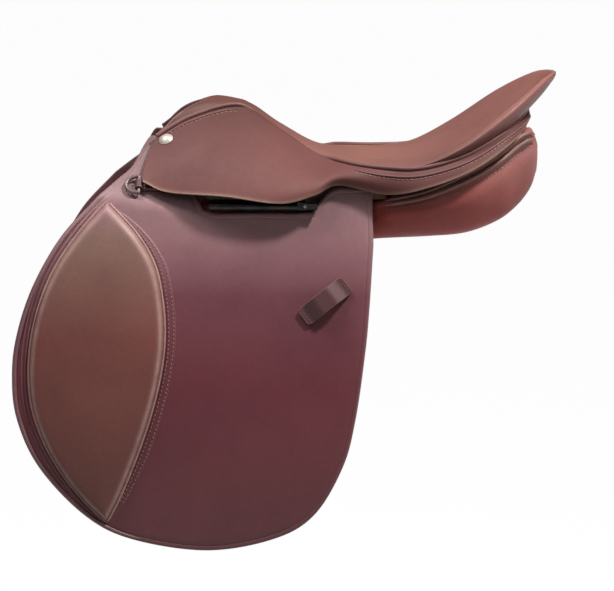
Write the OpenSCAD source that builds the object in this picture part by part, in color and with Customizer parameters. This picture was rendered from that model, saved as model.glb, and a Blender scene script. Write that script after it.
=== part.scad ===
// Jumping saddle in millimetres: the pommel is towards -X, the cantle towards +X,
// the left side towards -Y, and z = 0 is the lowest line of the panels behind the flaps

/* [Seat] */
// Length scale of the seat, from the front seam to the cantle edge
seat_l = 430; // [390:5:470]
// Half width over the skirts
half_w = 130; // [120:1:145]
// Height scale of the seat over the panel line
rise = 165; // [150:1:180]
// Leather of the seat
seat_leather_t = 3; // [2:0.5:3.5]
// Foam under the seat leather
foam_t = 9.4; // [7:0.2:10]
// Filling of the thin lip behind the cantle
lip_fill = 10; // [8:0.5:12]
// Roundness of the underside of that lip
lip_round = 30; // [20:1:40]
// Radius of the seam bead around the seat
welt_r = 2.4; // [1.8:0.1:2.8]

/* [Skirts] */
// Leather of the skirts
skirt_t = 3.5; // [2.5:0.5:4.5]
// Open line between the fixed skirt and its lobe
skirt_slit = 1.3; // [1:0.1:2.5]

/* [Flaps] */
// Width of a flap along the saddle
flap_w = 377; // [350:1:400]
// Drop of a flap below the front end of its bend line
flap_drop = 364; // [330:1:390]
// Leather of a flap
flap_t = 5; // [4:0.5:6]
// Height of the knee pad over the flap
pad_t = 13; // [10:0.5:16]
// Open line between the flap and the fixed head of the flap
flap_slit = 0.9; // [0.8:0.1:2]
// Leather of the sweat flap
sweat_t = 3.5; // [2.5:0.5:4]
// Room between the flap and the buckle guard
guard_room = 1.5; // [1:0.1:2]
// Leather of the buckle guard
guard_t = 2.5; // [2:0.25:3]

/* [Keepers] */
// Length of a leather keeper over its two sewn ends
keeper_l = 58; // [54:1:64]
// Width of a leather keeper
keeper_w = 20; // [16:1:24]
// Leather of a keeper
keeper_t = 3; // [2:0.25:3.5]
// Free height under a keeper
keeper_room = 7; // [6:0.5:9]

/* [Billets] */
// Width of a billet strap
billet_w = 25; // [22:1:27]
// Leather of a billet strap
billet_t = 4; // [3:0.5:4.5]
// Length of a billet from its pivot to its tip
billet_l = 235; // [210:5:250]
// Distance between neighbouring billets
billet_pitch = 42; // [40:1:44]
// Radius of a buckle hole
hole_r = 2.5; // [2:0.1:3]
// Distance between buckle holes
hole_pitch = 25; // [22:1:26]

/* [Tree] */
// Thickness of the wooden head and cantle
tree_t = 11; // [9:0.5:12]
// Thickness of the steel gullet plate
plate_t = 2; // [1.5:0.1:2.5]
// Height of the outer face of a rail
rail_h = 12; // [10:0.5:14]
// Width of a rail
rail_w = 38; // [34:1:42]
// Thickness of the webs
web_t = 1.7; // [1.2:0.1:2]
// Width of a seat web
web_w = 26; // [22:1:30]

/* [Stirrup bars] */
// Length of a stirrup bar
bar_l = 100; // [92:1:106]
// Radius of a stirrup bar
bar_r = 4.5; // [4:0.1:5]
// Slot between a stirrup bar and its plate
bar_slot = 7.5; // [6.5:0.1:8.5]
// Thickness of a bar plate
bar_plate_t = 3; // [2.5:0.25:3.5]
// Height of a bar plate
bar_plate_h = 20; // [18:1:22]
// Radius of the rivets of a bar plate
rivet_r = 2.5; // [2:0.1:3]
// Length of a catch from its pin to its tip
catch_l = 13; // [11:0.5:14]
// Radius of a catch pin
pin_r = 1.5; // [1.2:0.1:1.8]

/* [Fittings] */
// Height of a front dee along its straight side
dee_h = 24; // [22:1:28]
// Radius of the wire of a dee
dee_wire_r = 2; // [1.6:0.1:2.3]
// Radius of the head of a saddle nail
nail_r = 8; // [7:0.5:9]
// Radius of the shank of a saddle nail
nail_shank_r = 1.6; // [1.4:0.1:2]
// Length of the shank of a saddle nail
nail_l = 24; // [22:1:26]

/* [Fits] */
// Gap between sewn or nailed layers
lay_gap = 0.4; // [0.3:0.05:0.6]
// Gap all round a moving piece
run_gap = 0.5; // [0.35:0.05:0.7]
// Overrun of a cut
over = 1; // [0.5:0.5:2]

/* [Hidden] */
$fn = 32;

// Middle line of the seat at each rib, as shares of seat length and rise
spine_shares = [[-0.247, 0.830], [-0.219, 0.842], [-0.153, 0.797], [-0.074, 0.661], [0.019, 0.515],
    [0.105, 0.445], [0.198, 0.424], [0.279, 0.442], [0.349, 0.491], [0.400, 0.552],
    [0.428, 0.594], [0.437, 0.612]];
// Rim of the seat at each rib, as shares of seat length, half width and rise
rim_shares = [[-0.321, 0.277, 0.752], [-0.260, 0.2, 0.806], [-0.160, 0.11, 0.797], [-0.077, 0.125, 0.659],
    [0.019, 0.26, 0.510], [0.109, 0.508, 0.452], [0.205, 0.731, 0.448], [0.284, 0.869, 0.479],
    [0.384, 0.915, 0.612], [0.495, 0.769, 0.815], [0.581, 0.400, 0.958], [0.619, 0, 0.988]];
// Seam between seat and skirt at each rib
welt_shares = [[-0.379, 0.423, 0.606], [-0.291, 0.3, 0.728], [-0.172, 0.175, 0.790], [-0.077, 0.2, 0.651],
    [0.019, 0.4, 0.500], [0.105, 0.715, 0.455], [0.198, 0.869, 0.442], [0.279, 0.938, 0.452],
    [0.379, 0.938, 0.530], [0.477, 0.785, 0.667], [0.533, 0.438, 0.764], [0.551, 0, 0.782]];
// Middle of the skirt at each rib
side_shares = [[-0.400, 0.61, 0.473], [-0.321, 0.64, 0.509], [-0.198, 0.692, 0.527], [-0.084, 0.785, 0.430],
    [0.014, 0.846, 0.388], [0.084, 0.862, 0.397], [0.191, 0.923, 0.364], [0.284, 0.992, 0.382],
    [0.388, 1.000, 0.467], [0.481, 0.846, 0.606], [0.542, 0.462, 0.709], [0.558, 0, 0.730]];
// Lower edge of the skirt at each rib
edge_shares = [[-0.407, 0.78, 0.347], [-0.344, 0.85, 0.287], [-0.205, 0.98, 0.273], [-0.070, 1, 0.230],
    [0.014, 0.965, 0.279], [0.072, 0.84, 0.330], [0.186, 0.9, 0.270], [0.284, 0.985, 0.303],
    [0.391, 0.996, 0.400], [0.479, 0.846, 0.533], [0.537, 0.446, 0.648], [0.553, 0, 0.679]];
// Inward directions at each rib: under the rim, under the seam and behind the lower edge
rim_inward = [[0.2, 0.4, -0.9], [0.1, 0.4, -0.9], [0, 0.4, -0.9], [0, 0.4, -0.9],
    [0, 0.4, -0.9], [0, 0.4, -0.9], [0, 0.6, -0.8], [-0.1, 0.7, -0.7],
    [-0.2, 0.7, -0.7], [-0.5, 0.5, -0.7], [-0.7, 0.2, -0.7], [-0.75, 0, -0.66]];
welt_inward = [[0.1, 0.6, -0.8], [0.1, 0.6, -0.8], [0, 0.6, -0.8], [0, 0.6, -0.8],
    [0, 0.6, -0.8], [0, 0.8, -0.6], [0, 1, -0.2], [0, 1, 0],
    [-0.15, 1, 0], [-0.6, 0.8, 0], [-0.9, 0.45, 0.1], [-1, 0, 0.1]];
edge_inward = [[0.1, 1, -0.2], [0, 1, -0.2], [0, 1, -0.2], [0, 1, -0.1],
    [0, 1, -0.1], [0, 1, -0.1], [0, 1, 0], [0, 1, 0],
    [-0.15, 1, 0], [-0.6, 0.8, 0], [-0.9, 0.45, 0], [-1, 0, 0]];
// Share of the lip filling at each rib
lip_shares = [0, 0, 0, 0, 0, 0, 0, 0.05, 0.25, 0.7, 1, 1];
last = len(spine_shares) - 1;
// Place of the rim across a rib, as a share of the way to the seam
rim_share = 0.6;
// Stations across half the seat
across_shares = [0, 0.2, 0.4, 0.52, 0.6, 0.68, 0.84, 1];

function lerp(a, b, s) = a + (b - a)*s;
function unit(v) = v/norm(v);
function flip(p) = [p[0], -p[1], p[2]];
function place(share) = [share[0]*seat_l, -share[1]*half_w, share[2]*rise];
function hermite(a, b, ta, tb, s) = a*(1 - 3*s*s + 2*s*s*s) + b*(3*s*s - 2*s*s*s)
    + ta*(s - 2*s*s + s*s*s) + tb*(s*s*s - s*s);

spine = [for (s = spine_shares) [s[0]*seat_l, 0, s[1]*rise]];
rim = [for (s = rim_shares) place(s)];
welt = [for (s = welt_shares) place(s)];
side = [for (s = side_shares) place(s)];
edge = [for (s = edge_shares) place(s)];

// Curve through one column of the rib table, smooth across the middle behind the cantle
function column_tangent(c, i) = i == 0 ? c[1] - c[0]
    : i == last ? (flip(c[i - 1]) - c[i - 1])/2 : (c[i + 1] - c[i - 1])/2;
function column(c, k) = let (i = min(floor(k), last - 1))
    hermite(c[i], c[i + 1], column_tangent(c, i), column_tangent(c, i + 1), k - i);
function look(table, k) = let (i = min(floor(k), last - 1)) lerp(table[i], table[i + 1], k - i);
// Step along a rib or between ribs, for directions
near_share = 0.05;
function spine_slope(k) = let (a = column(spine, max(k - 0.3, 0)), b = column(spine, min(k + 0.3, last)))
    (b[2] - a[2])/(b[0] - a[0]);

// Point of the seat on rib k, at share r across it and depth d below the leather
function seat_point(k, r, d) = let (
    m = column(spine, k) + d*[0, 0, -1],
    q = column(rim, k) + (d > 0 ? d + lip_fill*look(lip_shares, k) : 0)*unit(look(rim_inward, k)),
    w = column(welt, k) + d*unit(look(welt_inward, k)),
    out = [q[0] - m[0], q[1], (q[0] - m[0])*spine_slope(k)],
    turn = w - m)
    r < rim_share ? hermite(m, q, out, turn*rim_share, r/rim_share)
    : hermite(q, w, turn*(1 - rim_share), w - q + lip_round*look(lip_shares, k)*unit(look(welt_inward, k)),
        (r - rim_share)/(1 - rim_share));
// Point of the skirt on rib k, at share w of the way down and depth d below the leather
function skirt_point(k, w, d) = let (a = column(welt, k), b = column(side, k), c = column(edge, k))
    a*(1 - w)*(1 - 2*w) + b*4*w*(1 - w) + c*w*(2*w - 1)
    + d*unit(lerp(look(welt_inward, k), look(edge_inward, k), w));

// Where the seat ends and the skirt starts on each side of the seam bead
function seam_run(k) = unit(column(welt, min(k + near_share, last)) - column(welt, max(k - near_share, 0)));
function seat_end(k) = 1 - (1 - rim_share)*(1.65*welt_r + lay_gap)
    /norm(cross(column(welt, k) - column(rim, k), seam_run(k)));
function skirt_start(k) = (1.65*welt_r + lay_gap)/norm(column(side, k) - column(welt, k))/2;

// Depths of the layers below the seat leather
foam_d = seat_leather_t + 2*lay_gap;
web_d = foam_d + foam_t + 4*lay_gap;
tree_d = web_d + web_t + 2*lay_gap;
gullet_d = tree_d + tree_t + lay_gap;

// Outline of the flap from the rear end to the front end of its bend line, as shares of its width and drop
flap_shares = [[1, 0.863], [0.988, 0.679], [0.976, 0.555], [0.950, 0.374], [0.915, 0.239], [0.836, 0.102],
    [0.724, 0.033], [0.538, 0], [0.329, 0.033], [0.199, 0.102], [0.074, 0.239], [0.013, 0.376],
    [0, 0.5], [0.013, 0.613], [0.056, 0.747], [0.133, 0.885], [0.236, 1]];
// Height of the front end of the bend line, as a share of the rise
bend_share = 0.255;
bend_z = bend_share*rise;
// Reach of the flap in front of the middle of the saddle, as a share of its width
flap_front_share = 0.8223;
flap_front = flap_front_share*flap_w;
function flap_place(s) = [s[0]*flap_w - flap_front, bend_z + (s[1] - 1)*flap_drop];
bend_rear = flap_place(flap_shares[0]);
bend_fore = flap_place(flap_shares[len(flap_shares) - 1]);
function bend_at(x) = lerp(bend_fore[1], bend_rear[1], (x - bend_fore[0])/(bend_rear[0] - bend_fore[0]));

// The flap is a sheet that leans out below this height and straightens towards its lower edge
lean_z = 0.12*rise;
flap_y = 0.862*half_w;
lean_top_share = 0.3;
lean_low_share = 0.08;
function sheet_y(z) = let (h = lean_z - z)
    -flap_y - lean_top_share*h + (lean_top_share - lean_low_share)/(2*flap_drop)*h*h;
// The fixed head of the flap leans in further towards the pommel
curl_share = 0.62;
curl_fore = -0.385*seat_l;
curl_rear = -0.19*seat_l;
function curl_at(x) = curl_share*min(max((curl_rear - x)/(curl_rear - curl_fore), 0), 1);
function head_y(x, z) = let (h = max(z - bend_at(x), 0)) sheet_y(z) + curl_at(x)*h;

// Depths of the layers below the outer face of the flap
guard_in = flap_t + guard_room;
billet_in = guard_in + guard_t + run_gap;
sweat_in = billet_in + billet_t + run_gap;
panel_in = sweat_in + sweat_t + lay_gap;

// Rails, bar plates and bars, measured from the middle plane
rail_y = flap_y - panel_in + sweat_t + lay_gap;
rail_z = 0.230*rise;
rail_fore = -0.251*seat_l;
rail_rear = 0.19*seat_l;
web_y = rail_y + lay_gap;
bar_plate_y = web_y + web_t + lay_gap;
bar_y = bar_plate_y + bar_plate_t + bar_slot + bar_r;
bar_z = 0.2*rise;
bar_fore = -0.242*seat_l;
bar_rear = bar_fore + bar_l;

// Curve through a list of points
function curve_at(p, s) = let (
    n = len(p) - 1,
    f = min(max(s, 0), 1)*n,
    i = min(floor(f), n - 1),
    a = p[i],
    b = p[i + 1],
    ta = i > 0 ? (b - p[i - 1])/2 : b - a,
    tb = i < n - 1 ? (p[i + 2] - a)/2 : b - a)
    hermite(a, b, ta, tb, f - i);
// Closed curve through a ring of points
function loop_at(p, s) = let (
    n = len(p),
    f = s*n,
    i = floor(f) % n,
    a = p[i],
    b = p[(i + 1) % n],
    ta = (b - p[(i + n - 1) % n])/2,
    tb = (p[(i + 2) % n] - a)/2)
    hermite(a, b, ta, tb, f - floor(f));

// Closed solid from points and triangles in either turning sense
module solid(points, faces) {
    parts = [for (f = faces) points[f[0]]*cross(points[f[1]], points[f[2]])];
    ones = [for (f = faces) 1];
    polyhedron(points, parts*ones > 0 ? [for (f = faces) [f[2], f[1], f[0]]] : faces);
}
// Two triangles of a four-sided face
function pair(a, b, c, d) = [[a, b, c], [a, c, d]];

// Solid between two grids of points; a zipped grid has its last row folded together at the middle column
module slab(top, low, zipped = false) {
    rows = len(top);
    cols = len(top[0]);
    count = rows*cols;
    at = function (i, j) zipped && i == rows - 1 && j < (cols - 1)/2 ? i*cols + cols - 1 - j : i*cols + j;
    points = concat([for (row = top) each row], [for (row = low) each row]);
    skin = [for (i = [0:rows - 2], j = [0:cols - 2])
        each pair(at(i, j), at(i + 1, j), at(i + 1, j + 1), at(i, j + 1))];
    ends = concat(
        [for (i = [0:rows - 2]) each pair(at(i + 1, 0), at(i, 0), at(i, 0) + count, at(i + 1, 0) + count)],
        [for (i = [0:rows - 2]) each pair(at(i, cols - 1), at(i + 1, cols - 1),
            at(i + 1, cols - 1) + count, at(i, cols - 1) + count)],
        [for (j = [0:cols - 2]) each pair(at(0, j), at(0, j + 1), at(0, j + 1) + count, at(0, j) + count)],
        zipped ? [] : [for (j = [0:cols - 2]) each pair(at(rows - 1, j + 1), at(rows - 1, j),
            at(rows - 1, j) + count, at(rows - 1, j + 1) + count)]);
    under = [for (f = skin) [f[2] + count, f[1] + count, f[0] + count]];
    solid(points, concat(skin, under, ends));
}

// Solid through a list of closed rings
module loft(rings) {
    rows = len(rings);
    cols = len(rings[0]);
    first = rows*cols;
    points = concat([for (row = rings) each row], [[for (p = rings[0]) 1]*rings[0]/cols],
        [[for (p = rings[0]) 1]*rings[rows - 1]/cols]);
    wall = [for (i = [0:rows - 2], j = [0:cols - 1]) let (n = (j + 1) % cols)
        each pair(i*cols + j, (i + 1)*cols + j, (i + 1)*cols + n, i*cols + n)];
    caps = [for (j = [0:cols - 1]) let (n = (j + 1) % cols)
        each [[first, j, n], [first + 1, (rows - 1)*cols + n, (rows - 1)*cols + j]]];
    solid(points, concat(wall, caps));
}

// Round bead along a path
module bead(path, r, sides = 8) {
    count = len(path);
    loft([for (i = [0:count - 1]) let (
        t = unit(path[min(i + 1, count - 1)] - path[max(i - 1, 0)]),
        u = unit(cross(t, [0, 0, 1])), v = cross(u, t))
        [for (j = [0:sides - 1]) path[i] + r*(u*cos(360*j/sides) + v*sin(360*j/sides))]]);
}

// Heights of a flat sheet
function flat(ring_shares) = [for (i = [0:len(ring_shares)]) 0];

// Leather sheet or pad over an outline in x and z: rings drawn in towards a centre, outer faces raised
// over the base by the heights of the rings, inner faces at depth t below the base
module sheet(outline, centre, ring_shares, heights, base, t) {
    n = len(outline);
    rings = len(ring_shares);
    plan = concat([for (s = ring_shares) each [for (p = outline) lerp(centre, p, s)]], [centre]);
    up = concat([for (i = [0:rings - 1]) each [for (p = outline) heights[i]]], [heights[rings]]);
    count = len(plan);
    points = concat(
        [for (i = [0:count - 1]) [plan[i][0], base(plan[i][0], plan[i][1]) - up[i], plan[i][1]]],
        [for (p = plan) [p[0], base(p[0], p[1]) + t, p[1]]]);
    skin = concat(
        [for (i = [0:rings - 2], j = [0:n - 1]) let (m = (j + 1) % n)
            each pair(i*n + j, i*n + m, (i + 1)*n + m, (i + 1)*n + j)],
        [for (j = [0:n - 1]) [(rings - 1)*n + j, (rings - 1)*n + (j + 1) % n, count - 1]]);
    wall = [for (j = [0:n - 1]) let (m = (j + 1) % n) each pair(m, j, j + count, m + count)];
    solid(points, concat(skin, [for (f = skin) [f[2] + count, f[1] + count, f[0] + count]], wall));
}

// Right-hand pieces are the left-hand ones turned over
module other_side() {
    mirror([0, 1, 0]) children();
}

// A full-width row of the seat at rib k and depth d, with the half-width stations given
function seat_row(k, shares, d) = concat(
    [for (i = [len(shares) - 1:-1:1]) seat_point(k, shares[i], d)],
    [for (s = shares) flip(seat_point(k, s, d))]);

// Ribs at which the seat is drawn
seat_ks = [for (i = [0:2*last]) i/2];

module seat_cover() {
    color([0.55, 0.38, 0.35]) slab(
        [for (k = seat_ks) seat_row(k, across_shares*seat_end(k), 0)],
        [for (k = seat_ks) seat_row(k, across_shares*seat_end(k), seat_leather_t)], true);
}

// The foam stops short of the seam at the sides and short of the lip at the cantle
foam_ks = [for (i = [1:2*last - 1]) i/2];
foam_side_share = 0.84;
foam_cantle_share = 0.5;
function foam_reach(k) = lerp(foam_side_share, foam_cantle_share, min(max((k - 6)/2, 0), 1));
foam_shares = [0, 0.25, 0.5, 0.75, 1];

module seat_foam() {
    color([0.85, 0.8, 0.6]) slab(
        [for (k = foam_ks) seat_row(k, foam_shares*foam_reach(k), foam_d)],
        [for (k = foam_ks) seat_row(k, foam_shares*foam_reach(k), foam_d + foam_t)]);
}

// The seam bead stands proud of the leather
welt_proud = 0.4*welt_r;
module seat_welt() {
    half = [for (k = seat_ks) column(welt, k) - welt_proud*unit(look(welt_inward, k))];
    color([0.45, 0.3, 0.28]) bead(concat(half, [for (i = [len(half) - 2:-1:0]) flip(half[i])]), welt_r);
}

// The wooden head follows the pommel under the leather
head_ks = [0.4, 0.7, 1, 1.3, 1.6];
head_reach_share = 0.34;
function head_row(k, d) = let (half = concat([for (s = [0.3, 0.6, 0.85]) seat_point(k, s, d)],
        [for (s = [0, 0.5, 1]) skirt_point(k, s*head_reach_share, d)]), n = len(half))
    concat([for (i = [n - 1:-1:0]) half[i]], [seat_point(k, 0, d)], [for (p = half) flip(p)]);

module tree_head() {
    color([0.75, 0.6, 0.4]) slab(
        [for (k = head_ks) head_row(k, tree_d)],
        [for (k = head_ks) head_row(k, tree_d + tree_t)]);
}

module gullet_plate() {
    color([0.6, 0.6, 0.62]) slab(
        [for (k = head_ks) head_row(k, gullet_d)],
        [for (k = head_ks) head_row(k, gullet_d + plate_t)]);
}

// The wooden cantle lies under the dish of the seat
cantle_ks = [for (i = [12:2*last]) i/2];
cantle_shares = [0.15, 0.3, 0.45];
function cantle_half(d) = [for (k = cantle_ks) [for (s = cantle_shares) seat_point(k, s, d)]];

module tree_cantle() {
    top = cantle_half(tree_d);
    low = cantle_half(tree_d + tree_t);
    n = len(top);
    color([0.75, 0.6, 0.4]) slab(
        concat(top, [for (i = [n - 2:-1:0]) [for (p = top[i]) flip(p)]]),
        concat(low, [for (i = [n - 2:-1:0]) [for (p = low[i]) flip(p)]]));
}

// Rail section: outer face upright for the stirrup bar, top sloping up towards the middle
rail_lift = 6;
module rail_section(grow = 0) {
    polygon([[-rail_y - grow, rail_z], [-rail_y - grow, rail_z + rail_h + grow],
        [-rail_y + rail_w, rail_z + rail_h + rail_lift + grow], [-rail_y + rail_w, rail_z + rail_lift]]);
}

// Extrude a section drawn in y and z along x
module along_x(from, to) {
    translate([from, 0, 0]) rotate([90, 0, 90]) linear_extrude(to - from) children();
}

module left_rail() {
    color([0.75, 0.6, 0.4]) along_x(rail_fore, rail_rear) rail_section();
}

module right_rail() {
    other_side() left_rail();
}

// Webs along the seat, from the head to the cantle
web_ks = concat([1, 1.3, 1.6], [for (i = [4:15]) i/2]);
web_mid = 0.17*half_w;
function top_at(k, y, d) = let (r = -column(rim, k)[1], w = -column(welt, k)[1],
    run = -4*column(side, k)[1] - 3*w + column(edge, k)[1])
    y < r ? seat_point(k, rim_share*y/r, d)
    : y < w ? seat_point(k, lerp(rim_share, 1, (y - r)/(w - r)), d) : skirt_point(k, (y - w)/run, d);
function web_row(k, d) = [for (s = [-0.5, -0.25, 0, 0.25, 0.5]) top_at(k, web_mid + s*web_w, d)];

module left_seat_web() {
    color([0.8, 0.76, 0.66]) slab(
        [for (k = web_ks) web_row(k, web_d)],
        [for (k = web_ks) web_row(k, web_d + web_t)]);
}

module right_seat_web() {
    other_side() left_seat_web();
}

// Girth webs lie over the rails and come down outside them to the billets
billet_fore = -0.135*seat_l;
billet_x = [billet_fore, billet_fore + billet_pitch, billet_fore + 2*billet_pitch];
billet_z = 0.045*rise;
web_low = billet_z + billet_w/2 + lay_gap;
module girth_web(from, to) {
    top = rail_z + rail_h + rail_lift + lay_gap;
    half = [[0, top], [rail_y - rail_w, top], [web_y, rail_z + rail_h + lay_gap], [web_y, web_low]];
    outer = [[0, top + web_t], [rail_y - rail_w, top + web_t],
        [web_y + web_t, rail_z + rail_h + lay_gap + web_t], [web_y + web_t, web_low]];
    along_x(from, to) polygon(concat(
        [for (i = [3:-1:0]) [-half[i][0], half[i][1]]], [for (i = [1:3]) half[i]],
        [for (i = [3:-1:0]) outer[i]], [for (i = [1:3]) [-outer[i][0], outer[i][1]]]));
}

module front_girth_web() {
    color([0.82, 0.78, 0.68]) girth_web(billet_x[0] - billet_w/2, billet_x[0] + billet_w/2);
}

module rear_girth_web() {
    color([0.82, 0.78, 0.68]) girth_web(billet_x[1] - billet_w/2, billet_x[2] + billet_w/2);
}

// The lobe of the skirt bends along a straight line seen from the side
lobe_rib_share = 0.441;
lobe_k = lobe_rib_share*last;
lobe_fore_share = 0.42;
lobe_fore = skirt_point(0, lobe_fore_share, 0);
lobe_rear = skirt_point(5, 1, 0);
function over_bend(p) = (p[2] - lobe_fore[2])*(lobe_rear[0] - lobe_fore[0])
    > (p[0] - lobe_fore[0])*(lobe_rear[2] - lobe_fore[2]);
function lobe_start(k, low = 0, high = 1, n = 16) = let (m = (low + high)/2) n == 0 ? m
    : over_bend(skirt_point(k, m, 0)) ? lobe_start(k, m, high, n - 1) : lobe_start(k, low, m, n - 1);
function slit_share(k) = skirt_slit/2/norm(column(edge, k) - column(side, k))/2;
skirt_ks = concat([0, 0.2], [for (i = [1:9]) i/2], [lobe_k, 4.9, 5], [for (i = [11:21]) i/2], [last - 0.02]);
lobe_ks = concat([0, 0.2], [for (i = [1:9]) i/2], [4.7, lobe_k]);
function skirt_row(k, d) = let (a = skirt_start(k), b = k <= lobe_k ? lobe_start(k) - slit_share(k) : 1)
    [for (s = [0, 0.34, 0.67, 1]) skirt_point(k, lerp(a, b, s), d)];
function lobe_row(k, d) = let (a = lobe_start(k) + slit_share(k))
    [for (s = [0, 0.5, 1]) skirt_point(k, lerp(a, 1, s), d)];

module left_skirt() {
    color([0.56, 0.38, 0.36]) slab(
        [for (k = skirt_ks) skirt_row(k, 0)],
        [for (k = skirt_ks) skirt_row(k, skirt_t)]);
}

module right_skirt() {
    other_side() left_skirt();
}

module left_skirt_lobe() {
    color([0.56, 0.38, 0.36]) slab(
        [for (k = lobe_ks) lobe_row(k, 0)],
        [for (k = lobe_ks) lobe_row(k, skirt_t)]);
}

module right_skirt_lobe() {
    other_side() left_skirt_lobe();
}

// Upper edge of the fixed head of the flap: place along the seat and height over the panel line
head_shares = [[-0.465, 0.358], [-0.435, 0.424], [-0.407, 0.555], [-0.389, 0.6], [-0.349, 0.55],
    [-0.302, 0.4], [-0.27, 0.22], [-0.245, 0.152], [-0.14, 0.15], [0, 0.15], [0.02, 0.19],
    [0.045, 0.238], [0.093, 0.25], [0.108, 0.278], [0.155, 0.29]];
function head_top(i) = [head_shares[i][0]*seat_l, head_shares[i][1]*rise];
head_xs = concat([[bend_fore[0] + over, bend_at(bend_fore[0] + over) + flap_slit + over]],
    [for (i = [0:len(head_shares) - 2]) head_top(i)],
    [[bend_rear[0] - over, head_top(len(head_shares) - 1)[1]]]);
function flap_head_row(p, d) = let (a = bend_at(p[0]) + flap_slit/2)
    [for (s = [0, 0.34, 0.67, 1]) let (z = lerp(a, p[1], s)) [p[0], head_y(p[0], z) + d, z]];

module left_flap_head() {
    color([0.42, 0.26, 0.28]) slab(
        [for (p = head_xs) flap_head_row(p, 0)],
        [for (p = head_xs) flap_head_row(p, flap_t)]);
}

module right_flap_head() {
    other_side() left_flap_head();
}

// Moving flap below the bend line
flap_n = 34;
flap_line = [for (s = flap_shares) flap_place(s)];
drop_slit = flap_slit/2;
flap_outline = concat(
    [for (i = [0:flap_n]) let (p = curve_at(flap_line, i/flap_n))
        [p[0], min(p[1], bend_at(p[0]) - drop_slit)]],
    [for (i = [1:5]) let (x = lerp(bend_fore[0], bend_rear[0], i/6)) [x, bend_at(x) - drop_slit]]);
flap_mid = flap_place([0.5, 0.52]);
flap_ring_shares = [1, 0.8, 0.55, 0.28];

module left_flap() {
    color([0.44, 0.26, 0.29]) sheet(flap_outline, flap_mid, flap_ring_shares, flat(flap_ring_shares),
        function (x, z) sheet_y(z), flap_t);
}

module right_flap() {
    other_side() left_flap();
}

// Knee pad: a pointed oval with a crowned face and drawn-in edges, as shares of the flap
pad_fore_shares = [[0.26, 0.984], [0.119, 0.795], [0.058, 0.624], [0.05, 0.566], [0.064, 0.426],
    [0.122, 0.286], [0.191, 0.170], [0.265, 0.093]];
pad_rear_shares = [[0.265, 0.093], [0.329, 0.228], [0.385, 0.371], [0.419, 0.538], [0.422, 0.624],
    [0.398, 0.764], [0.342, 0.876], [0.26, 0.984]];
pad_n = 14;
pad_fore = [for (s = pad_fore_shares) flap_place(s)];
pad_rear = [for (s = pad_rear_shares) flap_place(s)];
pad_outline = concat([for (i = [0:pad_n - 1]) curve_at(pad_fore, i/pad_n)],
    [for (i = [0:pad_n - 1]) curve_at(pad_rear, i/pad_n)]);
pad_mid = flap_place([0.24, 0.56]);
pad_ring_shares = [1, 0.95, 0.86, 0.7, 0.45, 0.2];
pad_height_shares = [0.22, 0.5, 0.75, 0.9, 0.98, 1, 1];

module left_knee_pad() {
    color([0.47, 0.31, 0.28]) sheet(pad_outline, pad_mid, pad_ring_shares, pad_height_shares*pad_t,
        function (x, z) sheet_y(z) - lay_gap, 0);
}

module right_knee_pad() {
    other_side() left_knee_pad();
}

// Frame on the flap face at a place: along the given turn, across, and outwards
function face_lean(z) = lean_top_share - (lean_top_share - lean_low_share)/flap_drop*(lean_z - z);
module on_flap(p, turn, lift = 0) {
    translate([p[0], sheet_y(p[1]) - lift, p[1]])
        rotate([90 - atan(face_lean(p[1])), 0, 0]) rotate(turn) children();
}

keeper_at = flap_place([0.867, 0.707]);
keeper_turn = 38;
module left_keeper() {
    end = keeper_l/2;
    foot = 0.68*end;
    crown = 0.54*end;
    color([0.35, 0.22, 0.22]) on_flap(keeper_at, keeper_turn, lay_gap)
        translate([0, keeper_w/2, 0]) rotate([90, 0, 0]) linear_extrude(keeper_w) polygon([
            [-end, 0], [-end, keeper_t], [-foot - keeper_t/2, keeper_t],
            [-crown - keeper_t/2, keeper_room + keeper_t], [crown + keeper_t/2, keeper_room + keeper_t],
            [foot + keeper_t/2, keeper_t], [end, keeper_t], [end, 0],
            [foot, 0], [crown, keeper_room], [-crown, keeper_room], [-foot, 0]]);
}

module right_keeper() {
    other_side() left_keeper();
}

// Sweat flap: inside the billets, drawn in from the outline of the flap
sweat_share = 0.93;
sweat_top = 0.15*rise;
sweat_line = [for (s = flap_shares) lerp(flap_mid, flap_place(s), sweat_share)];
sweat_n = 24;
sweat_ring_shares = [1, 0.75, 0.45];
sweat_outline = concat([for (i = [0:sweat_n]) curve_at(sweat_line, i/sweat_n)],
    [for (i = [1:5]) [lerp(sweat_line[len(sweat_line) - 1][0], sweat_line[0][0], i/6), sweat_top]]);

module left_sweat_flap() {
    color([0.4, 0.26, 0.25]) sheet(sweat_outline, flap_mid, sweat_ring_shares, flat(sweat_ring_shares),
        function (x, z) sheet_y(z) + sweat_in, sweat_t);
}

module right_sweat_flap() {
    other_side() left_sweat_flap();
}

// Buckle guard over the tops of the billets
guard_fore = billet_x[0] - 0.9*billet_w;
guard_rear = billet_x[2] + 0.9*billet_w;
guard_top = billet_z + billet_w/2;
guard_low = -0.42*rise;
module left_buckle_guard() {
    xs = [for (i = [0:4]) lerp(guard_fore, guard_rear, i/4)];
    zs = [for (i = [0:4]) lerp(guard_top, guard_low, i/4)];
    color([0.4, 0.25, 0.25]) slab([for (x = xs) [for (z = zs) [x, sheet_y(z) + guard_in, z]]],
        [for (x = xs) [for (z = zs) [x, sheet_y(z) + guard_in + guard_t, z]]]);
}

module right_buckle_guard() {
    other_side() left_buckle_guard();
}

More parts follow.
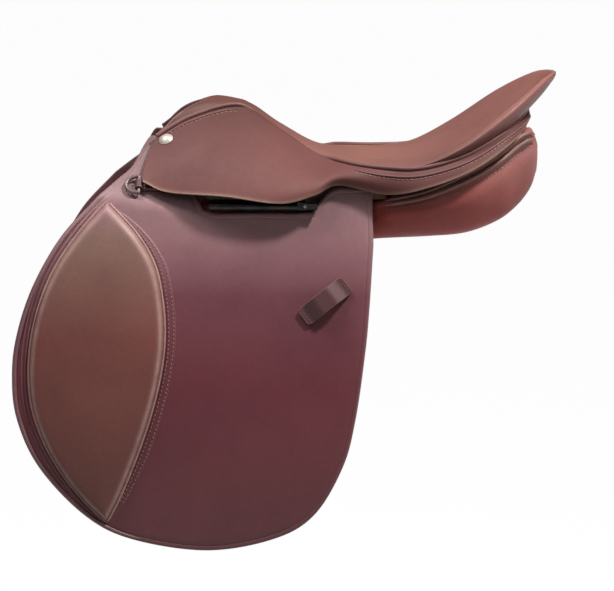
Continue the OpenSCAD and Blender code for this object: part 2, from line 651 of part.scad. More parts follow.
// Billet strap: round top about its pivot, straight sides, pointed tip, seven buckle holes
tip_l = 0.7*billet_w;
billet_turns = [8, 30, 60, 90];
billet_rows = concat([for (a = billet_turns) [billet_z + cos(a)*billet_w/2, sin(a)*billet_w/2]],
    [for (i = [1:8]) [billet_z - i/8*(billet_l - tip_l), billet_w/2]],
    [[billet_z - billet_l + tip_l/3, billet_w/3], [billet_z - billet_l, billet_w/12]]);
hole_count = 7;
function billet_row(x, r, d) = [for (s = [-1, 1]) [x + s*r[1], sheet_y(r[0]) + billet_in + d, r[0]]];
module billet(x) {
    difference() {
        slab([for (r = billet_rows) billet_row(x, r, 0)], [for (r = billet_rows) billet_row(x, r, billet_t)]);
        for (i = [0:hole_count - 1]) {
            z = billet_z - billet_l + tip_l + i*hole_pitch;
            on_flap([x, z], 0, -billet_in - billet_t - over) cylinder(r = hole_r, h = billet_t + 2*over);
        }
    }
}

module left_front_billet() {
    color([0.33, 0.2, 0.2]) billet(billet_x[0]);
}

module left_mid_billet() {
    color([0.33, 0.2, 0.2]) billet(billet_x[1]);
}

module left_rear_billet() {
    color([0.33, 0.2, 0.2]) billet(billet_x[2]);
}

module right_front_billet() {
    other_side() left_front_billet();
}

module right_mid_billet() {
    other_side() left_mid_billet();
}

module right_rear_billet() {
    other_side() left_rear_billet();
}

// Panel: place along the seat, inner and outer half widths, top at the inner and outer side, bottom
panel_shares = [[-0.43, 0.4, 0.6, 0.1, 0.1, 0], [-0.415, 0.34, 0.68, 0.18, 0.18, -0.12],
    [-0.36, 0.3, 0.71, 0.2, 0.2, -0.19], [-0.28, 0.29, 0.72, 0.23, 0.21, -0.2],
    [-0.16, 0.28, 0.712, 0.25, 0.215, -0.17], [-0.04, 0.28, 0.712, 0.25, 0.215, -0.13],
    [0.08, 0.29, 0.715, 0.245, 0.212, -0.08], [0.15, 0.3, 0.74, 0.24, 0.212, -0.05],
    [0.21, 0.31, 0.85, 0.235, 0.24, -0.03], [0.29, 0.32, 0.955, 0.255, 0.28, -0.012],
    [0.385, 0.33, 0.965, 0.33, 0.37, 0.012], [0.465, 0.34, 0.86, 0.45, 0.485, 0.082],
    [0.516, 0.33, 0.73, 0.55, 0.575, 0.168], [0.548, 0.36, 0.62, 0.59, 0.605, 0.27],
    [0.563, 0.42, 0.55, 0.5, 0.52, 0.38]];
panel_table = [for (s = panel_shares)
    [s[0]*seat_l, s[1]*half_w, s[2]*half_w, s[3]*rise, s[4]*rise, s[5]*rise]];
panel_rows = 28;
panel_sides = 20;
function panel_section(t) = let (
    x = t[0],
    a = t[1],
    b = t[2],
    ta = t[3],
    tb = t[4],
    low = t[5],
    w = b - a,
    h = tb - low)
    [[x, -a - 0.06*w, ta], [x, -b + 0.12*w, tb], [x, -b + 0.015*w, tb - 0.2*h], [x, -b, tb - 0.5*h],
        [x, -b + 0.2*w, low + 0.08*h], [x, -(a + b)/2, low], [x, -a - 0.1*w, low + 0.1*h],
        [x, -a, lerp(low, ta, 0.5)]];
function panel_ring(s) = let (c = panel_section(curve_at(panel_table, s)))
    [for (j = [0:panel_sides - 1]) loop_at(c, j/panel_sides)];

module left_panel() {
    color([0.48, 0.3, 0.28]) loft([for (i = [0:panel_rows]) panel_ring(i/panel_rows)]);
}

module right_panel() {
    other_side() left_panel();
}

// Facing welts on the panels below the rear edge of the skirts
facing_r = 2.1;
facing_fore_share = 0.545;
facing_rear_share = 0.945;
facing_out = unit([0, -0.9, 0.35]);
// Place of the welts round the section of the panel
upper_facing_share = 0.15625;
lower_facing_share = 0.21875;
function facing_path(at) = [for (i = [0:16]) let (
    s = lerp(facing_fore_share, facing_rear_share, i/16),
    c = panel_section(curve_at(panel_table, s)))
    loop_at(c, at) + (facing_r + 3*lay_gap)*facing_out];

module left_upper_facing_welt() {
    color([0.45, 0.3, 0.29]) bead(facing_path(upper_facing_share), facing_r);
}

module right_upper_facing_welt() {
    other_side() left_upper_facing_welt();
}

module left_lower_facing_welt() {
    color([0.45, 0.3, 0.29]) bead(facing_path(lower_facing_share), facing_r);
}

module right_lower_facing_welt() {
    other_side() left_lower_facing_welt();
}

// Turn a shape drawn along z to point outwards on the left side, starting p[1] from the middle
module across(p) {
    translate([p[0], -p[1], p[2]]) rotate([90, 0, 0]) children();
}

// Stirrup bar: plate on the rail, bridge at the front, round bar with a flat tongue for the catch
bar_plate_z = rail_z + rail_h/2;
rivet_xs = [billet_x[0] - billet_w/2 - 0.78*billet_w, (billet_x[0] + billet_x[1])/2];
boss_r = 2*rivet_r;
bridge_l = 11;
tongue_t = 3;
tongue_r = 4;
module left_stirrup_bar() {
    face = -bar_plate_y - bar_plate_t;
    color([0.72, 0.72, 0.74]) difference() {
        union() {
            translate([bar_fore, face, bar_plate_z - bar_plate_h/2]) cube([bar_l, bar_plate_t, bar_plate_h]);
            for (x = rivet_xs) across([x, rail_y + lay_gap, bar_plate_z])
                cylinder(r = boss_r, h = bar_plate_y - rail_y - lay_gap + bar_plate_t/2);
            translate([bar_fore, -bar_y, bar_z - bar_r])
                cube([bridge_l, bar_y + face + bar_plate_t/2, 2*bar_r]);
            translate([bar_fore, -bar_y, bar_z]) rotate([0, 90, 0])
                cylinder(r = bar_r, h = bar_l - 2*tongue_r);
            translate([bar_fore + bar_l - 3*tongue_r, -bar_y - tongue_t/2, bar_z - tongue_r])
                cube([3*tongue_r, tongue_t, 2*tongue_r]);
            across([bar_rear, bar_y - tongue_t/2, bar_z]) cylinder(r = tongue_r, h = tongue_t);
        }
        for (x = rivet_xs) across([x, rail_y - over, bar_plate_z])
            cylinder(r = rivet_r, h = bar_plate_y + bar_plate_t - rail_y + 2*over);
        across([bar_rear, bar_y - tongue_t/2 - over, bar_z]) cylinder(r = pin_r, h = tongue_t + 2*over);
    }
}

module right_stirrup_bar() {
    other_side() left_stirrup_bar();
}

// Rivets of the bar plate, driven into the rail
rivet_grip = 9;
rivet_head = 1.6;
module left_bar_rivets() {
    shank = rivet_grip + bar_plate_y + bar_plate_t - rail_y;
    color([0.6, 0.6, 0.62]) for (x = rivet_xs) across([x, rail_y - rivet_grip, bar_plate_z]) {
        cylinder(r = rivet_r, h = shank + rivet_head/2);
        translate([0, 0, shank]) cylinder(r1 = 1.7*rivet_r, r2 = rivet_r, h = rivet_head);
    }
}

module right_bar_rivets() {
    other_side() left_bar_rivets();
}

// Catch at the open end of the bar: two cheeks round the tongue, joined behind it
catch_w = 2*bar_r;
catch_h = 6;
module left_catch() {
    cheek_r = tongue_r - run_gap/2;
    web_x = tongue_r + run_gap;
    color([0.75, 0.75, 0.77]) difference() {
        union() {
            across([bar_rear, bar_y - catch_w/2, bar_z]) cylinder(r = cheek_r, h = catch_w);
            translate([bar_rear, -bar_y - catch_w/2, bar_z - catch_h/2]) cube([catch_l, catch_w, catch_h]);
        }
        translate([bar_rear - 2*tongue_r, -bar_y - tongue_t/2 - run_gap, bar_z - 2*tongue_r])
            cube([2*tongue_r + web_x, tongue_t + 2*run_gap, 4*tongue_r]);
        across([bar_rear, bar_y - catch_w/2 - over, bar_z])
            cylinder(r = pin_r + run_gap/2, h = catch_w + 2*over);
    }
}

module right_catch() {
    other_side() left_catch();
}

module left_catch_pin() {
    color([0.6, 0.6, 0.62]) across([bar_rear, bar_y - catch_w/2, bar_z]) cylinder(r = pin_r, h = catch_w);
}

module right_catch_pin() {
    other_side() left_catch_pin();
}

// Front dee: straight bar in its leather chape, lying on the fixed head of the flap
dee_x = -0.4165*seat_l;
dee_z = 0.325*rise;
chape_t = 1.8;
chape_w = dee_h - 7*dee_wire_r;
chape_l = 18;
dee_lift = dee_wire_r + run_gap + chape_t + 2*lay_gap;
dee_lean = atan((head_y(dee_x, dee_z + 0.3*dee_h) - head_y(dee_x, dee_z - 0.3*dee_h))/(0.6*dee_h));
dee_bow = dee_h/2 - dee_wire_r;
dee_arm = 3.5;
// Frame of the dee: x to the rear, y up along its straight bar, z outwards
module at_dee() {
    translate([dee_x, head_y(dee_x, dee_z) - dee_lift/cos(dee_lean), dee_z])
        rotate([90 - dee_lean, 0, 0]) children();
}

module left_dee() {
    color([0.62, 0.55, 0.53]) at_dee() {
        translate([-dee_arm, 0, 0]) rotate(90) rotate_extrude(angle = 180)
            translate([dee_bow, 0]) circle(r = dee_wire_r);
        translate([0, -dee_bow, 0]) rotate([-90, 0, 0]) cylinder(r = dee_wire_r, h = 2*dee_bow);
        for (s = [-1, 1]) translate([0, s*dee_bow, 0]) {
            sphere(r = dee_wire_r);
            rotate([0, -90, 0]) cylinder(r = dee_wire_r, h = dee_arm);
        }
    }
}

module right_dee() {
    other_side() left_dee();
}

module left_dee_chape() {
    shell_r = dee_wire_r + run_gap + chape_t;
    color([0.4, 0.26, 0.25]) at_dee() translate([0, chape_w/2, 0]) rotate([90, 0, 0]) difference() {
        union() {
            cylinder(r = shell_r, h = chape_w);
            translate([0, -shell_r, 0]) cube([chape_l, 2*chape_t, chape_w]);
        }
        translate([0, 0, -over]) cylinder(r = dee_wire_r + run_gap, h = chape_w + 2*over);
    }
}

module right_dee_chape() {
    other_side() left_dee_chape();
}

// Saddle nail through the skirt and the head of the flap into the wooden head
nail_rib_share = 0.0382;
nail_down_share = 0.2;
nail_k = nail_rib_share*last;
nail_at = skirt_point(nail_k, nail_down_share, 0);
function nail_near(dk, dw) = skirt_point(nail_k + dk*near_share, nail_down_share + dw*near_share, 0);
nail_out = unit(cross(nail_near(1, 0) - nail_near(-1, 0), nail_near(0, -1) - nail_near(0, 1)));
nail_dome = 3.5;
module left_nail() {
    dome_r = (nail_r*nail_r + nail_dome*nail_dome)/(2*nail_dome);
    color([0.85, 0.8, 0.76]) translate(nail_at + lay_gap*nail_out)
        rotate([0, acos(nail_out[2]), atan2(nail_out[1], nail_out[0])]) {
        intersection() {
            translate([0, 0, nail_dome - dome_r]) sphere(r = dome_r);
            cylinder(r = nail_r, h = nail_dome);
        }
        translate([0, 0, -nail_l]) cylinder(r = nail_shank_r, h = nail_l + nail_dome/2);
    }
}

module right_nail() {
    other_side() left_nail();
}

seat_cover();
seat_foam();
seat_welt();
tree_head();
gullet_plate();
tree_cantle();
left_rail();
right_rail();
left_seat_web();
right_seat_web();
front_girth_web();
rear_girth_web();
left_skirt();
right_skirt();
left_skirt_lobe();
right_skirt_lobe();
left_flap_head();
right_flap_head();
left_flap();
right_flap();
left_knee_pad();
right_knee_pad();
left_keeper();
right_keeper();
left_sweat_flap();
right_sweat_flap();
left_buckle_guard();
right_buckle_guard();
left_front_billet();
left_mid_billet();
left_rear_billet();
right_front_billet();
right_mid_billet();
right_rear_billet();
left_panel();
right_panel();
left_upper_facing_welt();
right_upper_facing_welt();
left_lower_facing_welt();
right_lower_facing_welt();
left_stirrup_bar();
right_stirrup_bar();
left_bar_rivets();
right_bar_rivets();
left_catch();
right_catch();
left_catch_pin();
right_catch_pin();
left_dee();
right_dee();
left_dee_chape();
right_dee_chape();
left_nail();
right_nail();
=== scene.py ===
import math
import bmesh
import bpy
import numpy as np
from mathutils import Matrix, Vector, geometry
from numpy.linalg import norm


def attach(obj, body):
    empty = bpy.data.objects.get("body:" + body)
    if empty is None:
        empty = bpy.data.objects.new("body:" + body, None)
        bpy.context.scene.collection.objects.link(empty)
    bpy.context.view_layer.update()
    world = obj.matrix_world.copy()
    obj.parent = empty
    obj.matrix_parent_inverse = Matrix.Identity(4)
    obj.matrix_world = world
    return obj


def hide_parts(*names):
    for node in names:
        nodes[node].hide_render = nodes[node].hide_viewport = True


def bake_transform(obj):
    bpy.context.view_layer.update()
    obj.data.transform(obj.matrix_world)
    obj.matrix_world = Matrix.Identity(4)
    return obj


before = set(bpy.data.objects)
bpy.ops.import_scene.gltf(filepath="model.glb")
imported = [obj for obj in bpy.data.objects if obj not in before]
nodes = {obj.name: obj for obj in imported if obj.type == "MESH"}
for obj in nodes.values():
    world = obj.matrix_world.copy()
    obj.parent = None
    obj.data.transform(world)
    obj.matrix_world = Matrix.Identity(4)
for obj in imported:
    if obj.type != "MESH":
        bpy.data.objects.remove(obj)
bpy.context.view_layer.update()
scene = bpy.context.scene

# Shapes are worked out in millimetres in the frame of the part and turned into metres when a mesh is made
MM = 0.001

# Driving sizes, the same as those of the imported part
SEAT_L = 430.0
HALF_W = 130.0
RISE = 165.0
SEAT_T = 3.0
FOAM_T = 9.4
LIP_FILL = 10.0
LIP_ROUND = 30.0
WELT_R = 2.4
SKIRT_T = 3.5
FLAP_W = 377.0
FLAP_DROP = 364.0
FLAP_FRONT = 0.8223*FLAP_W
FLAP_T = 5.0
PAD_T = 13.0
SWEAT_T = 3.5
GUARD_ROOM = 1.5
GUARD_T = 2.5
KEEPER_L = 58.0
KEEPER_W = 20.0
KEEPER_T = 3.0
KEEPER_ROOM = 7.0
BILLET_W = 25.0
BILLET_T = 4.0
BILLET_L = 235.0
BILLET_PITCH = 42.0
HOLE_R = 2.5
HOLE_PITCH = 25.0
RAIL_H = 12.0
RAIL_W = 38.0
RAIL_LIFT = 6.0
WEB_T = 1.7
WEB_W = 26.0
DEE_H = 24.0
DEE_WIRE_R = 2.0
CHAPE_T = 1.8
CHAPE_L = 18.0
LAY_GAP = 0.4
RUN_GAP = 0.5

# Ribs across the seat from the pommel to the middle of the cantle, as shares of length, half width and rise
# Rear heights of spine, side and edge are up to 10 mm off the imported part's
SPINE = np.array([[-0.247, 0, 0.830], [-0.219, 0, 0.842], [-0.153, 0, 0.797], [-0.074, 0, 0.661],
    [0.019, 0, 0.515], [0.105, 0, 0.445], [0.198, 0, 0.424], [0.279, 0, 0.442], [0.349, 0, 0.491],
    [0.400, 0, 0.552], [0.428, 0, 0.592], [0.437, 0, 0.605]])
RIM = np.array([[-0.321, 0.277, 0.752], [-0.260, 0.2, 0.806], [-0.160, 0.11, 0.797], [-0.077, 0.125, 0.659],
    [0.019, 0.26, 0.510], [0.109, 0.508, 0.452], [0.205, 0.731, 0.448], [0.284, 0.869, 0.479],
    [0.384, 0.915, 0.612], [0.495, 0.769, 0.815], [0.581, 0.400, 0.958], [0.619, 0, 0.988]])
WELT = np.array([[-0.379, 0.423, 0.606], [-0.291, 0.3, 0.728], [-0.172, 0.175, 0.790], [-0.077, 0.2, 0.651],
    [0.019, 0.4, 0.500], [0.105, 0.715, 0.455], [0.198, 0.869, 0.442], [0.279, 0.938, 0.452],
    [0.379, 0.938, 0.530], [0.477, 0.785, 0.667], [0.533, 0.438, 0.764], [0.551, 0, 0.782]])
SIDE = np.array([[-0.400, 0.61, 0.473], [-0.321, 0.64, 0.509], [-0.198, 0.692, 0.527],
    [-0.084, 0.785, 0.430], [0.014, 0.846, 0.388], [0.084, 0.862, 0.397], [0.191, 0.923, 0.369],
    [0.284, 0.992, 0.396], [0.388, 1.000, 0.488],
    [0.481, 0.846, 0.635], [0.542, 0.462, 0.730], [0.558, 0, 0.739]])
EDGE = np.array([[-0.407, 0.78, 0.347], [-0.344, 0.85, 0.287], [-0.205, 0.98, 0.273], [-0.070, 1, 0.230],
    [0.014, 0.965, 0.279], [0.072, 0.84, 0.330], [0.186, 0.9, 0.279], [0.284, 0.985, 0.330],
    [0.391, 0.996, 0.442], [0.479, 0.846, 0.591], [0.537, 0.446, 0.690], [0.553, 0, 0.697]])
SCALE = np.array([SEAT_L, -HALF_W, RISE])
SPINE, RIM, WELT, SIDE, EDGE = SPINE*SCALE, RIM*SCALE, WELT*SCALE, SIDE*SCALE, EDGE*SCALE
# Inward directions at each rib, under the rim, under the seam and behind the lower edge
RIM_IN = np.array([[0.2, 0.4, -0.9], [0.1, 0.4, -0.9], [0, 0.4, -0.9], [0, 0.4, -0.9], [0, 0.4, -0.9],
    [0, 0.4, -0.9], [0, 0.6, -0.8], [-0.1, 0.7, -0.7], [-0.2, 0.7, -0.7], [-0.5, 0.5, -0.7],
    [-0.7, 0.2, -0.7], [-0.75, 0, -0.66]])
WELT_IN = np.array([[0.1, 0.6, -0.8], [0.1, 0.6, -0.8], [0, 0.6, -0.8], [0, 0.6, -0.8], [0, 0.6, -0.8],
    [0, 0.8, -0.6], [0, 1, -0.2], [0, 1, 0], [-0.15, 1, 0], [-0.6, 0.8, 0], [-0.9, 0.45, 0.1],
    [-1, 0, 0.1]])
EDGE_IN = np.array([[0.1, 1, -0.2], [0, 1, -0.2], [0, 1, -0.2], [0, 1, -0.1], [0, 1, -0.1], [0, 1, -0.1],
    [0, 1, 0], [0, 1, 0], [-0.15, 1, 0], [-0.6, 0.8, 0], [-0.9, 0.45, 0], [-1, 0, 0]])
# Share of the cantle's lip at each rib
LIP = np.array([0, 0, 0, 0, 0, 0, 0, 0.05, 0.25, 0.7, 1, 1])
LAST = len(SPINE) - 1
# Place of the rim across a rib, as a share of the way to the seam
RIM_SHARE = 0.6
# Ribs to each side that the spine's slope is taken over, and the steepest slope used
SLOPE_REACH = 0.3
SPINE_STEEP = 0.62
# Steps for directions, in ribs and in shares of the way down the skirt
RIB_STEP = 0.05
DOWN_STEP = 0.02
# Room beside the seam for its bead
WELT_ROOM = 1.65*WELT_R + LAY_GAP
# How far the edge of the rear skirt is turned out at most
FLARE = 6.0


def unit(v):
    return v/norm(v)


def flip(p):
    return np.asarray(p)*[1, -1, 1]


def vec(*values):
    return np.array(values, float)


def lerp(a, b, s):
    return a + (b - a)*s


def hermite(a, b, ta, tb, s):
    return a*(1 - 3*s*s + 2*s**3) + b*(3*s*s - 2*s**3) + ta*(s - 2*s*s + s**3) + tb*(s**3 - s*s)


def column_tangent(c, i):
    if i == 0:
        return c[1] - c[0]
    if i == LAST:
        return (flip(c[i - 1]) - c[i - 1])/2
    return (c[i + 1] - c[i - 1])/2


def column(c, k):
    i = min(int(math.floor(k)), LAST - 1)
    return hermite(c[i], c[i + 1], column_tangent(c, i), column_tangent(c, i + 1), k - i)


def look(table, k):
    i = min(int(math.floor(k)), LAST - 1)
    return lerp(table[i], table[i + 1], k - i)


def spine_slope(k):
    a, b = column(SPINE, max(k - SLOPE_REACH, 0)), column(SPINE, min(k + SLOPE_REACH, LAST))
    return min((b[2] - a[2])/(b[0] - a[0]), SPINE_STEEP)


def seat_point(k, r, d):
    """Point of the seat on rib k, at share r across it and depth d below the leather."""
    m = column(SPINE, k) + vec(0, 0, -d)
    q = column(RIM, k) + (d + LIP_FILL*look(LIP, k) if d > 0 else 0)*unit(look(RIM_IN, k))
    w = column(WELT, k) + d*unit(look(WELT_IN, k))
    out = vec(q[0] - m[0], q[1], (q[0] - m[0])*spine_slope(k))
    turn = w - m
    if r < RIM_SHARE:
        return hermite(m, q, out, turn*RIM_SHARE, r/RIM_SHARE)
    under = w - q + LIP_ROUND*look(LIP, k)*unit(look(WELT_IN, k))
    return hermite(q, w, turn*(1 - RIM_SHARE), under, (r - RIM_SHARE)/(1 - RIM_SHARE))


def ease(s):
    s = min(max(s, 0), 1)
    return s*s*(3 - 2*s)


def grown(value, start, over):
    """Share from 0 to 1 that a value has gone from a start, over a stretch."""
    return np.clip((value - start)/over, 0, 1)


def skirt_point(k, w, d):
    """Point of the skirt on rib k, at share w of the way down and depth d below the leather."""
    a, b, c = column(WELT, k), column(SIDE, k), column(EDGE, k)
    inward = unit(lerp(look(WELT_IN, k), look(EDGE_IN, k), w))
    risen, fallen = ease(grown(k, start=5.6, over=1.2)), ease(grown(k, start=9.2, over=1.4))
    flare = FLARE*risen*(1 - fallen)*w*w
    return a*(1 - w)*(1 - 2*w) + b*4*w*(1 - w) + c*w*(2*w - 1) + (d - flare)*inward


def seat_end(k):
    """Share across the seat where its leather meets the room for the seam bead."""
    run = unit(column(WELT, min(k + RIB_STEP, LAST)) - column(WELT, max(k - RIB_STEP, 0)))
    room = norm(np.cross(column(WELT, k) - column(RIM, k), run))
    return 1 - (1 - RIM_SHARE)*WELT_ROOM/room


def down_share(k, drop):
    """Share of the way down the skirt at a distance below the seam."""
    return drop/norm(column(SIDE, k) - column(WELT, k))/2


# Outline of the flap from the rear end to the front end of its bend line, as shares of its width and drop
FLAP_SHARES = [[1, 0.863], [0.988, 0.679], [0.976, 0.555], [0.950, 0.374], [0.915, 0.239], [0.836, 0.102],
    [0.724, 0.033], [0.538, 0], [0.329, 0.033], [0.199, 0.102], [0.074, 0.239], [0.013, 0.376],
    [0, 0.5], [0.013, 0.613], [0.056, 0.747], [0.133, 0.885], [0.236, 1]]
# Upper edge of the flap under the skirt, as shares of seat length and rise
HEAD_SHARES = [[-0.465, 0.358], [-0.435, 0.424], [-0.407, 0.555], [-0.389, 0.6], [-0.349, 0.55],
    [-0.302, 0.4], [-0.27, 0.22], [-0.245, 0.152], [-0.14, 0.15], [0, 0.15], [0.02, 0.2],
    [0.045, 0.27], [0.07, 0.3], [0.1, 0.304], [0.1535, 0.308]]
# Front and rear edges of the knee pad, as shares of the flap's width and drop
PAD_FORE_SHARES = [[0.26, 0.984], [0.19, 0.905], [0.125, 0.812], [0.082, 0.715], [0.056, 0.61],
    [0.048, 0.5], [0.06, 0.397], [0.098, 0.295], [0.15, 0.208], [0.207, 0.138], [0.262, 0.085]]
PAD_REAR_SHARES = [[0.262, 0.085], [0.3, 0.163], [0.346, 0.28], [0.385, 0.4], [0.41, 0.51], [0.42, 0.61],
    [0.414, 0.709], [0.392, 0.808], [0.342, 0.895], [0.26, 0.984]]
# Heights of the bend's front end and of the lean's start, place there, lean there and below
BEND_Z = 0.255*RISE
LEAN_Z = 0.12*RISE
FLAP_Y = 0.862*HALF_W
LEAN_TOP = 0.3
LEAN_LOW = 0.08
# Inward turn of the flap's head over the bend, and the places between which it grows forward
CURL = 0.62
CURL_FORE = -0.385*SEAT_L
CURL_REAR = -0.19*SEAT_L


def flap_place(s):
    return vec(s[0]*FLAP_W - FLAP_FRONT, BEND_Z + (s[1] - 1)*FLAP_DROP)


BEND_REAR = flap_place(FLAP_SHARES[0])
BEND_FORE = flap_place(FLAP_SHARES[-1])
FLAP_MID = flap_place([0.5, 0.52])


def bend_at(x):
    return lerp(BEND_FORE[1], BEND_REAR[1], (x - BEND_FORE[0])/(BEND_REAR[0] - BEND_FORE[0]))


def sheet_y(z):
    h = LEAN_Z - z
    return -FLAP_Y - LEAN_TOP*h + (LEAN_TOP - LEAN_LOW)/(2*FLAP_DROP)*h*h


def head_y(x, z):
    share = np.clip((CURL_REAR - x)/(CURL_REAR - CURL_FORE), 0, 1)
    return sheet_y(z) + CURL*share*np.maximum(z - bend_at(x), 0)


def face_lean(z):
    return LEAN_TOP - (LEAN_TOP - LEAN_LOW)/FLAP_DROP*(LEAN_Z - z)


def curve_at(p, s):
    n = len(p) - 1
    f = min(max(s, 0), 1)*n
    i = min(int(math.floor(f)), n - 1)
    a, b = p[i], p[i + 1]
    ta = (b - p[i - 1])/2 if i > 0 else b - a
    tb = (p[i + 2] - a)/2 if i < n - 1 else b - a
    return hermite(a, b, ta, tb, f - i)


def loop_at(p, s):
    n = len(p)
    f = s*n
    i = int(math.floor(f)) % n
    a, b = p[i], p[(i + 1) % n]
    return hermite(a, b, (b - p[(i + n - 1) % n])/2, (p[(i + 2) % n] - a)/2, f - math.floor(f))


def curve_through(points, count):
    return [curve_at(points, s) for s in np.linspace(0, 1, count)]


def run_of(path):
    """Length along a path up to each of its points."""
    return np.concatenate([[0], np.cumsum(norm(np.diff(path, axis=0), axis=1))])


def along(run, values, at):
    """Values given at lengths along a path, at another length or several."""
    return np.stack([np.interp(at, run, row) for row in values.T], axis=-1)


def even(points, pitch, closed=False):
    """The same line with its points at an even distance of about pitch."""
    p = np.asarray(points, float)
    if closed:
        p = np.vstack([p, p[:1]])
    run = run_of(p)
    line = along(run, p, np.linspace(0, run[-1], max(int(round(run[-1]/pitch)), 3) + 1))
    return line[:-1] if closed else line


def circle(sides):
    turns = np.arange(sides)*2*math.pi/sides
    return np.cos(turns)[:, None], np.sin(turns)[:, None]


def bell(values, middle, width):
    return np.exp(-((values - middle)/width)**2)


def mirrored_on(half):
    """A line that ends in the middle plane, carried on by its mirror image."""
    return list(half) + [flip(p) for p in half[-2::-1]]


# Colours are written as they look, from 0 to 255, and turned to linear values
def tone(r, g, b):
    out = []
    for c in (r, g, b):
        c = c/255
        out.append(c/12.92 if c <= 0.04045 else ((c + 0.055)/1.055)**2.4)
    return (*out, 1.0)


class Maker:
    """Node material with a few helpers."""

    def __init__(self, name):
        self.material = bpy.data.materials.new(name)
        self.material.use_nodes = True
        self.nodes = self.material.node_tree.nodes
        self.links = self.material.node_tree.links
        self.shader = self.nodes["Principled BSDF"]
        self.coords = self.add("TexCoord").outputs["Object"]

    def add(self, kind, inputs=None, **settings):
        node = self.nodes.new("ShaderNode" + kind)
        for key, value in settings.items():
            setattr(node, key, value)
        self.fill(node, inputs or {})
        return node

    def fill(self, node, inputs):
        for key, value in inputs.items():
            if isinstance(value, bpy.types.NodeSocket):
                self.links.new(value, node.inputs[key])
            else:
                node.inputs[key].default_value = value

    def noise(self, scale, detail=3.0, rough=0.55, coords=None):
        return self.add("TexNoise", {"Vector": coords or self.coords, "Scale": scale,
            "Detail": detail, "Roughness": rough}).outputs["Fac"]

    def spread(self, value, low, high, to_low=0.0, to_high=1.0):
        return self.add("MapRange", {"Value": value, "From Min": low, "From Max": high,
            "To Min": to_low, "To Max": to_high}).outputs["Result"]

    def cells(self, scale):
        return self.add("TexVoronoi", {"Vector": self.coords, "Scale": scale}).outputs["Distance"]

    def stretched(self, *scale):
        return self.add("Mapping", {"Vector": self.coords, "Scale": scale}).outputs["Vector"]

    def math(self, kind, a, b):
        return self.add("Math", {0: a, 1: b}, operation=kind).outputs[0]

    def mix(self, share, a, b):
        return self.add("Mix", {0: share, 6: a, 7: b}, data_type="RGBA").outputs[2]

    def ramp(self, stops, axis):
        """Colour along an axis of the part, from a list of places in metres and tones."""
        place = self.add("SeparateXYZ", {"Vector": self.coords}).outputs[axis]
        low, high = stops[0][0], stops[-1][0]
        node = self.add("ValToRGB", {"Fac": self.spread(place, low, high)})
        points = node.color_ramp.elements
        points[1].position = 0.0
        for i, (at, colour) in enumerate(stops):
            point = points[i] if i < 2 else points.new((at - low)/(high - low))
            point.position = (at - low)/(high - low)
            point.color = tone(*colour)
        return node.outputs["Color"]

    def shade(self, colour, share):
        return self.add("VectorMath", {0: colour, "Scale": share}, operation="SCALE").outputs[0]

    def bump(self, height, strength, distance, before=None):
        node = self.add("Bump", {"Height": height, "Strength": strength, "Distance": distance})
        if before is not None:
            self.links.new(before, node.inputs["Normal"])
        return node.outputs["Normal"]

    def set(self, **values):
        self.fill(self.shader, {key.replace("_", " "): value for key, value in values.items()})
        return self.material


MOTTLE = 0.12


def leather(name, stops, worn_and_highlit, rough, grain, gloss=0.42, axis="Z"):
    """Grained leather: tones along an axis, on some parts holding painted light and shade, mottled, with a
    pebbled bump, and pale worn edges and painted highlights.
    """
    m = Maker(name)
    cloud = m.spread(m.noise(11.0, 4.0), 0.36, 0.66)
    fine = m.spread(m.noise(160.0, 3.0), 0.35, 0.7)
    share = m.math("ADD", m.math("MULTIPLY", cloud, 0.72), m.math("MULTIPLY", fine, 0.28))
    colour = m.shade(m.ramp(stops, axis), m.spread(share, 0.0, 1.0, 1 + MOTTLE, 1 - MOTTLE))
    wear_and_highlight = m.add("Attribute", attribute_name="wear_and_highlight").outputs["Fac"]
    rubbed_and_highlit = m.math("MULTIPLY", wear_and_highlight, m.spread(m.noise(90.0, 2.0), 0.25, 0.75, 0.55, 1.0))
    colour = m.mix(rubbed_and_highlit, colour, tone(*worn_and_highlit))
    pebbled = m.bump(m.cells(950.0), 0.16*grain, 0.0004)
    creased = m.bump(m.noise(210.0, 5.0, 0.6), 0.2*grain, 0.0008, pebbled)
    normal = m.bump(m.noise(16.0, 2.0), 0.05, 0.004, creased)
    roughness = m.spread(m.noise(40.0, 4.0), 0.3, 0.7, rough - 0.04, rough + 0.06)
    return m.set(Base_Color=colour, Roughness=roughness, Normal=normal, Specular_IOR_Level=gloss)


def metal(name, light, dark, rough, share=1.0):
    """Cast or drawn metal with fine brush lines and dull patches."""
    m = Maker(name)
    patch = m.spread(m.noise(60.0, 4.0), 0.35, 0.7)
    lines = m.noise(1.0, 3.0, 0.6, m.stretched(40.0, 900.0, 900.0))
    return m.set(Base_Color=m.mix(patch, tone(*light), tone(*dark)), Metallic=share,
        Roughness=m.spread(lines, 0.3, 0.7, rough - 0.06, rough + 0.1), Normal=m.bump(lines, 0.08, 0.0003))


def wood(name):
    """Beech ply with long grain."""
    m = Maker(name)
    rings = m.add("TexWave", {"Vector": m.stretched(6.0, 90.0, 90.0), "Scale": 1.3,
        "Distortion": 5.0, "Detail": 3.0}).outputs["Fac"]
    share = m.math("MULTIPLY", rings, m.spread(m.noise(30.0, 3.0), 0.3, 0.7, 0.5, 1.0))
    return m.set(Base_Color=m.mix(share, tone(128, 92, 62), tone(92, 62, 40)), Roughness=0.6,
        Normal=m.bump(rings, 0.1, 0.0006))


def webbing(name):
    """Linen webbing with a plain weave, in a dark brown that partly stands in for shade where it shows
    under the skirt.
    """
    m = Maker(name)
    warp, weft = [m.add("TexWave", {"Vector": m.coords, "Scale": 190.0, "Distortion": 0.6},
        bands_direction=axis).outputs["Fac"] for axis in "XY"]
    weave = m.math("MULTIPLY", warp, weft)
    return m.set(Base_Color=m.mix(weave, tone(70, 54, 46), tone(108, 88, 74)), Roughness=0.85,
        Normal=m.bump(weave, 0.5, 0.0006))


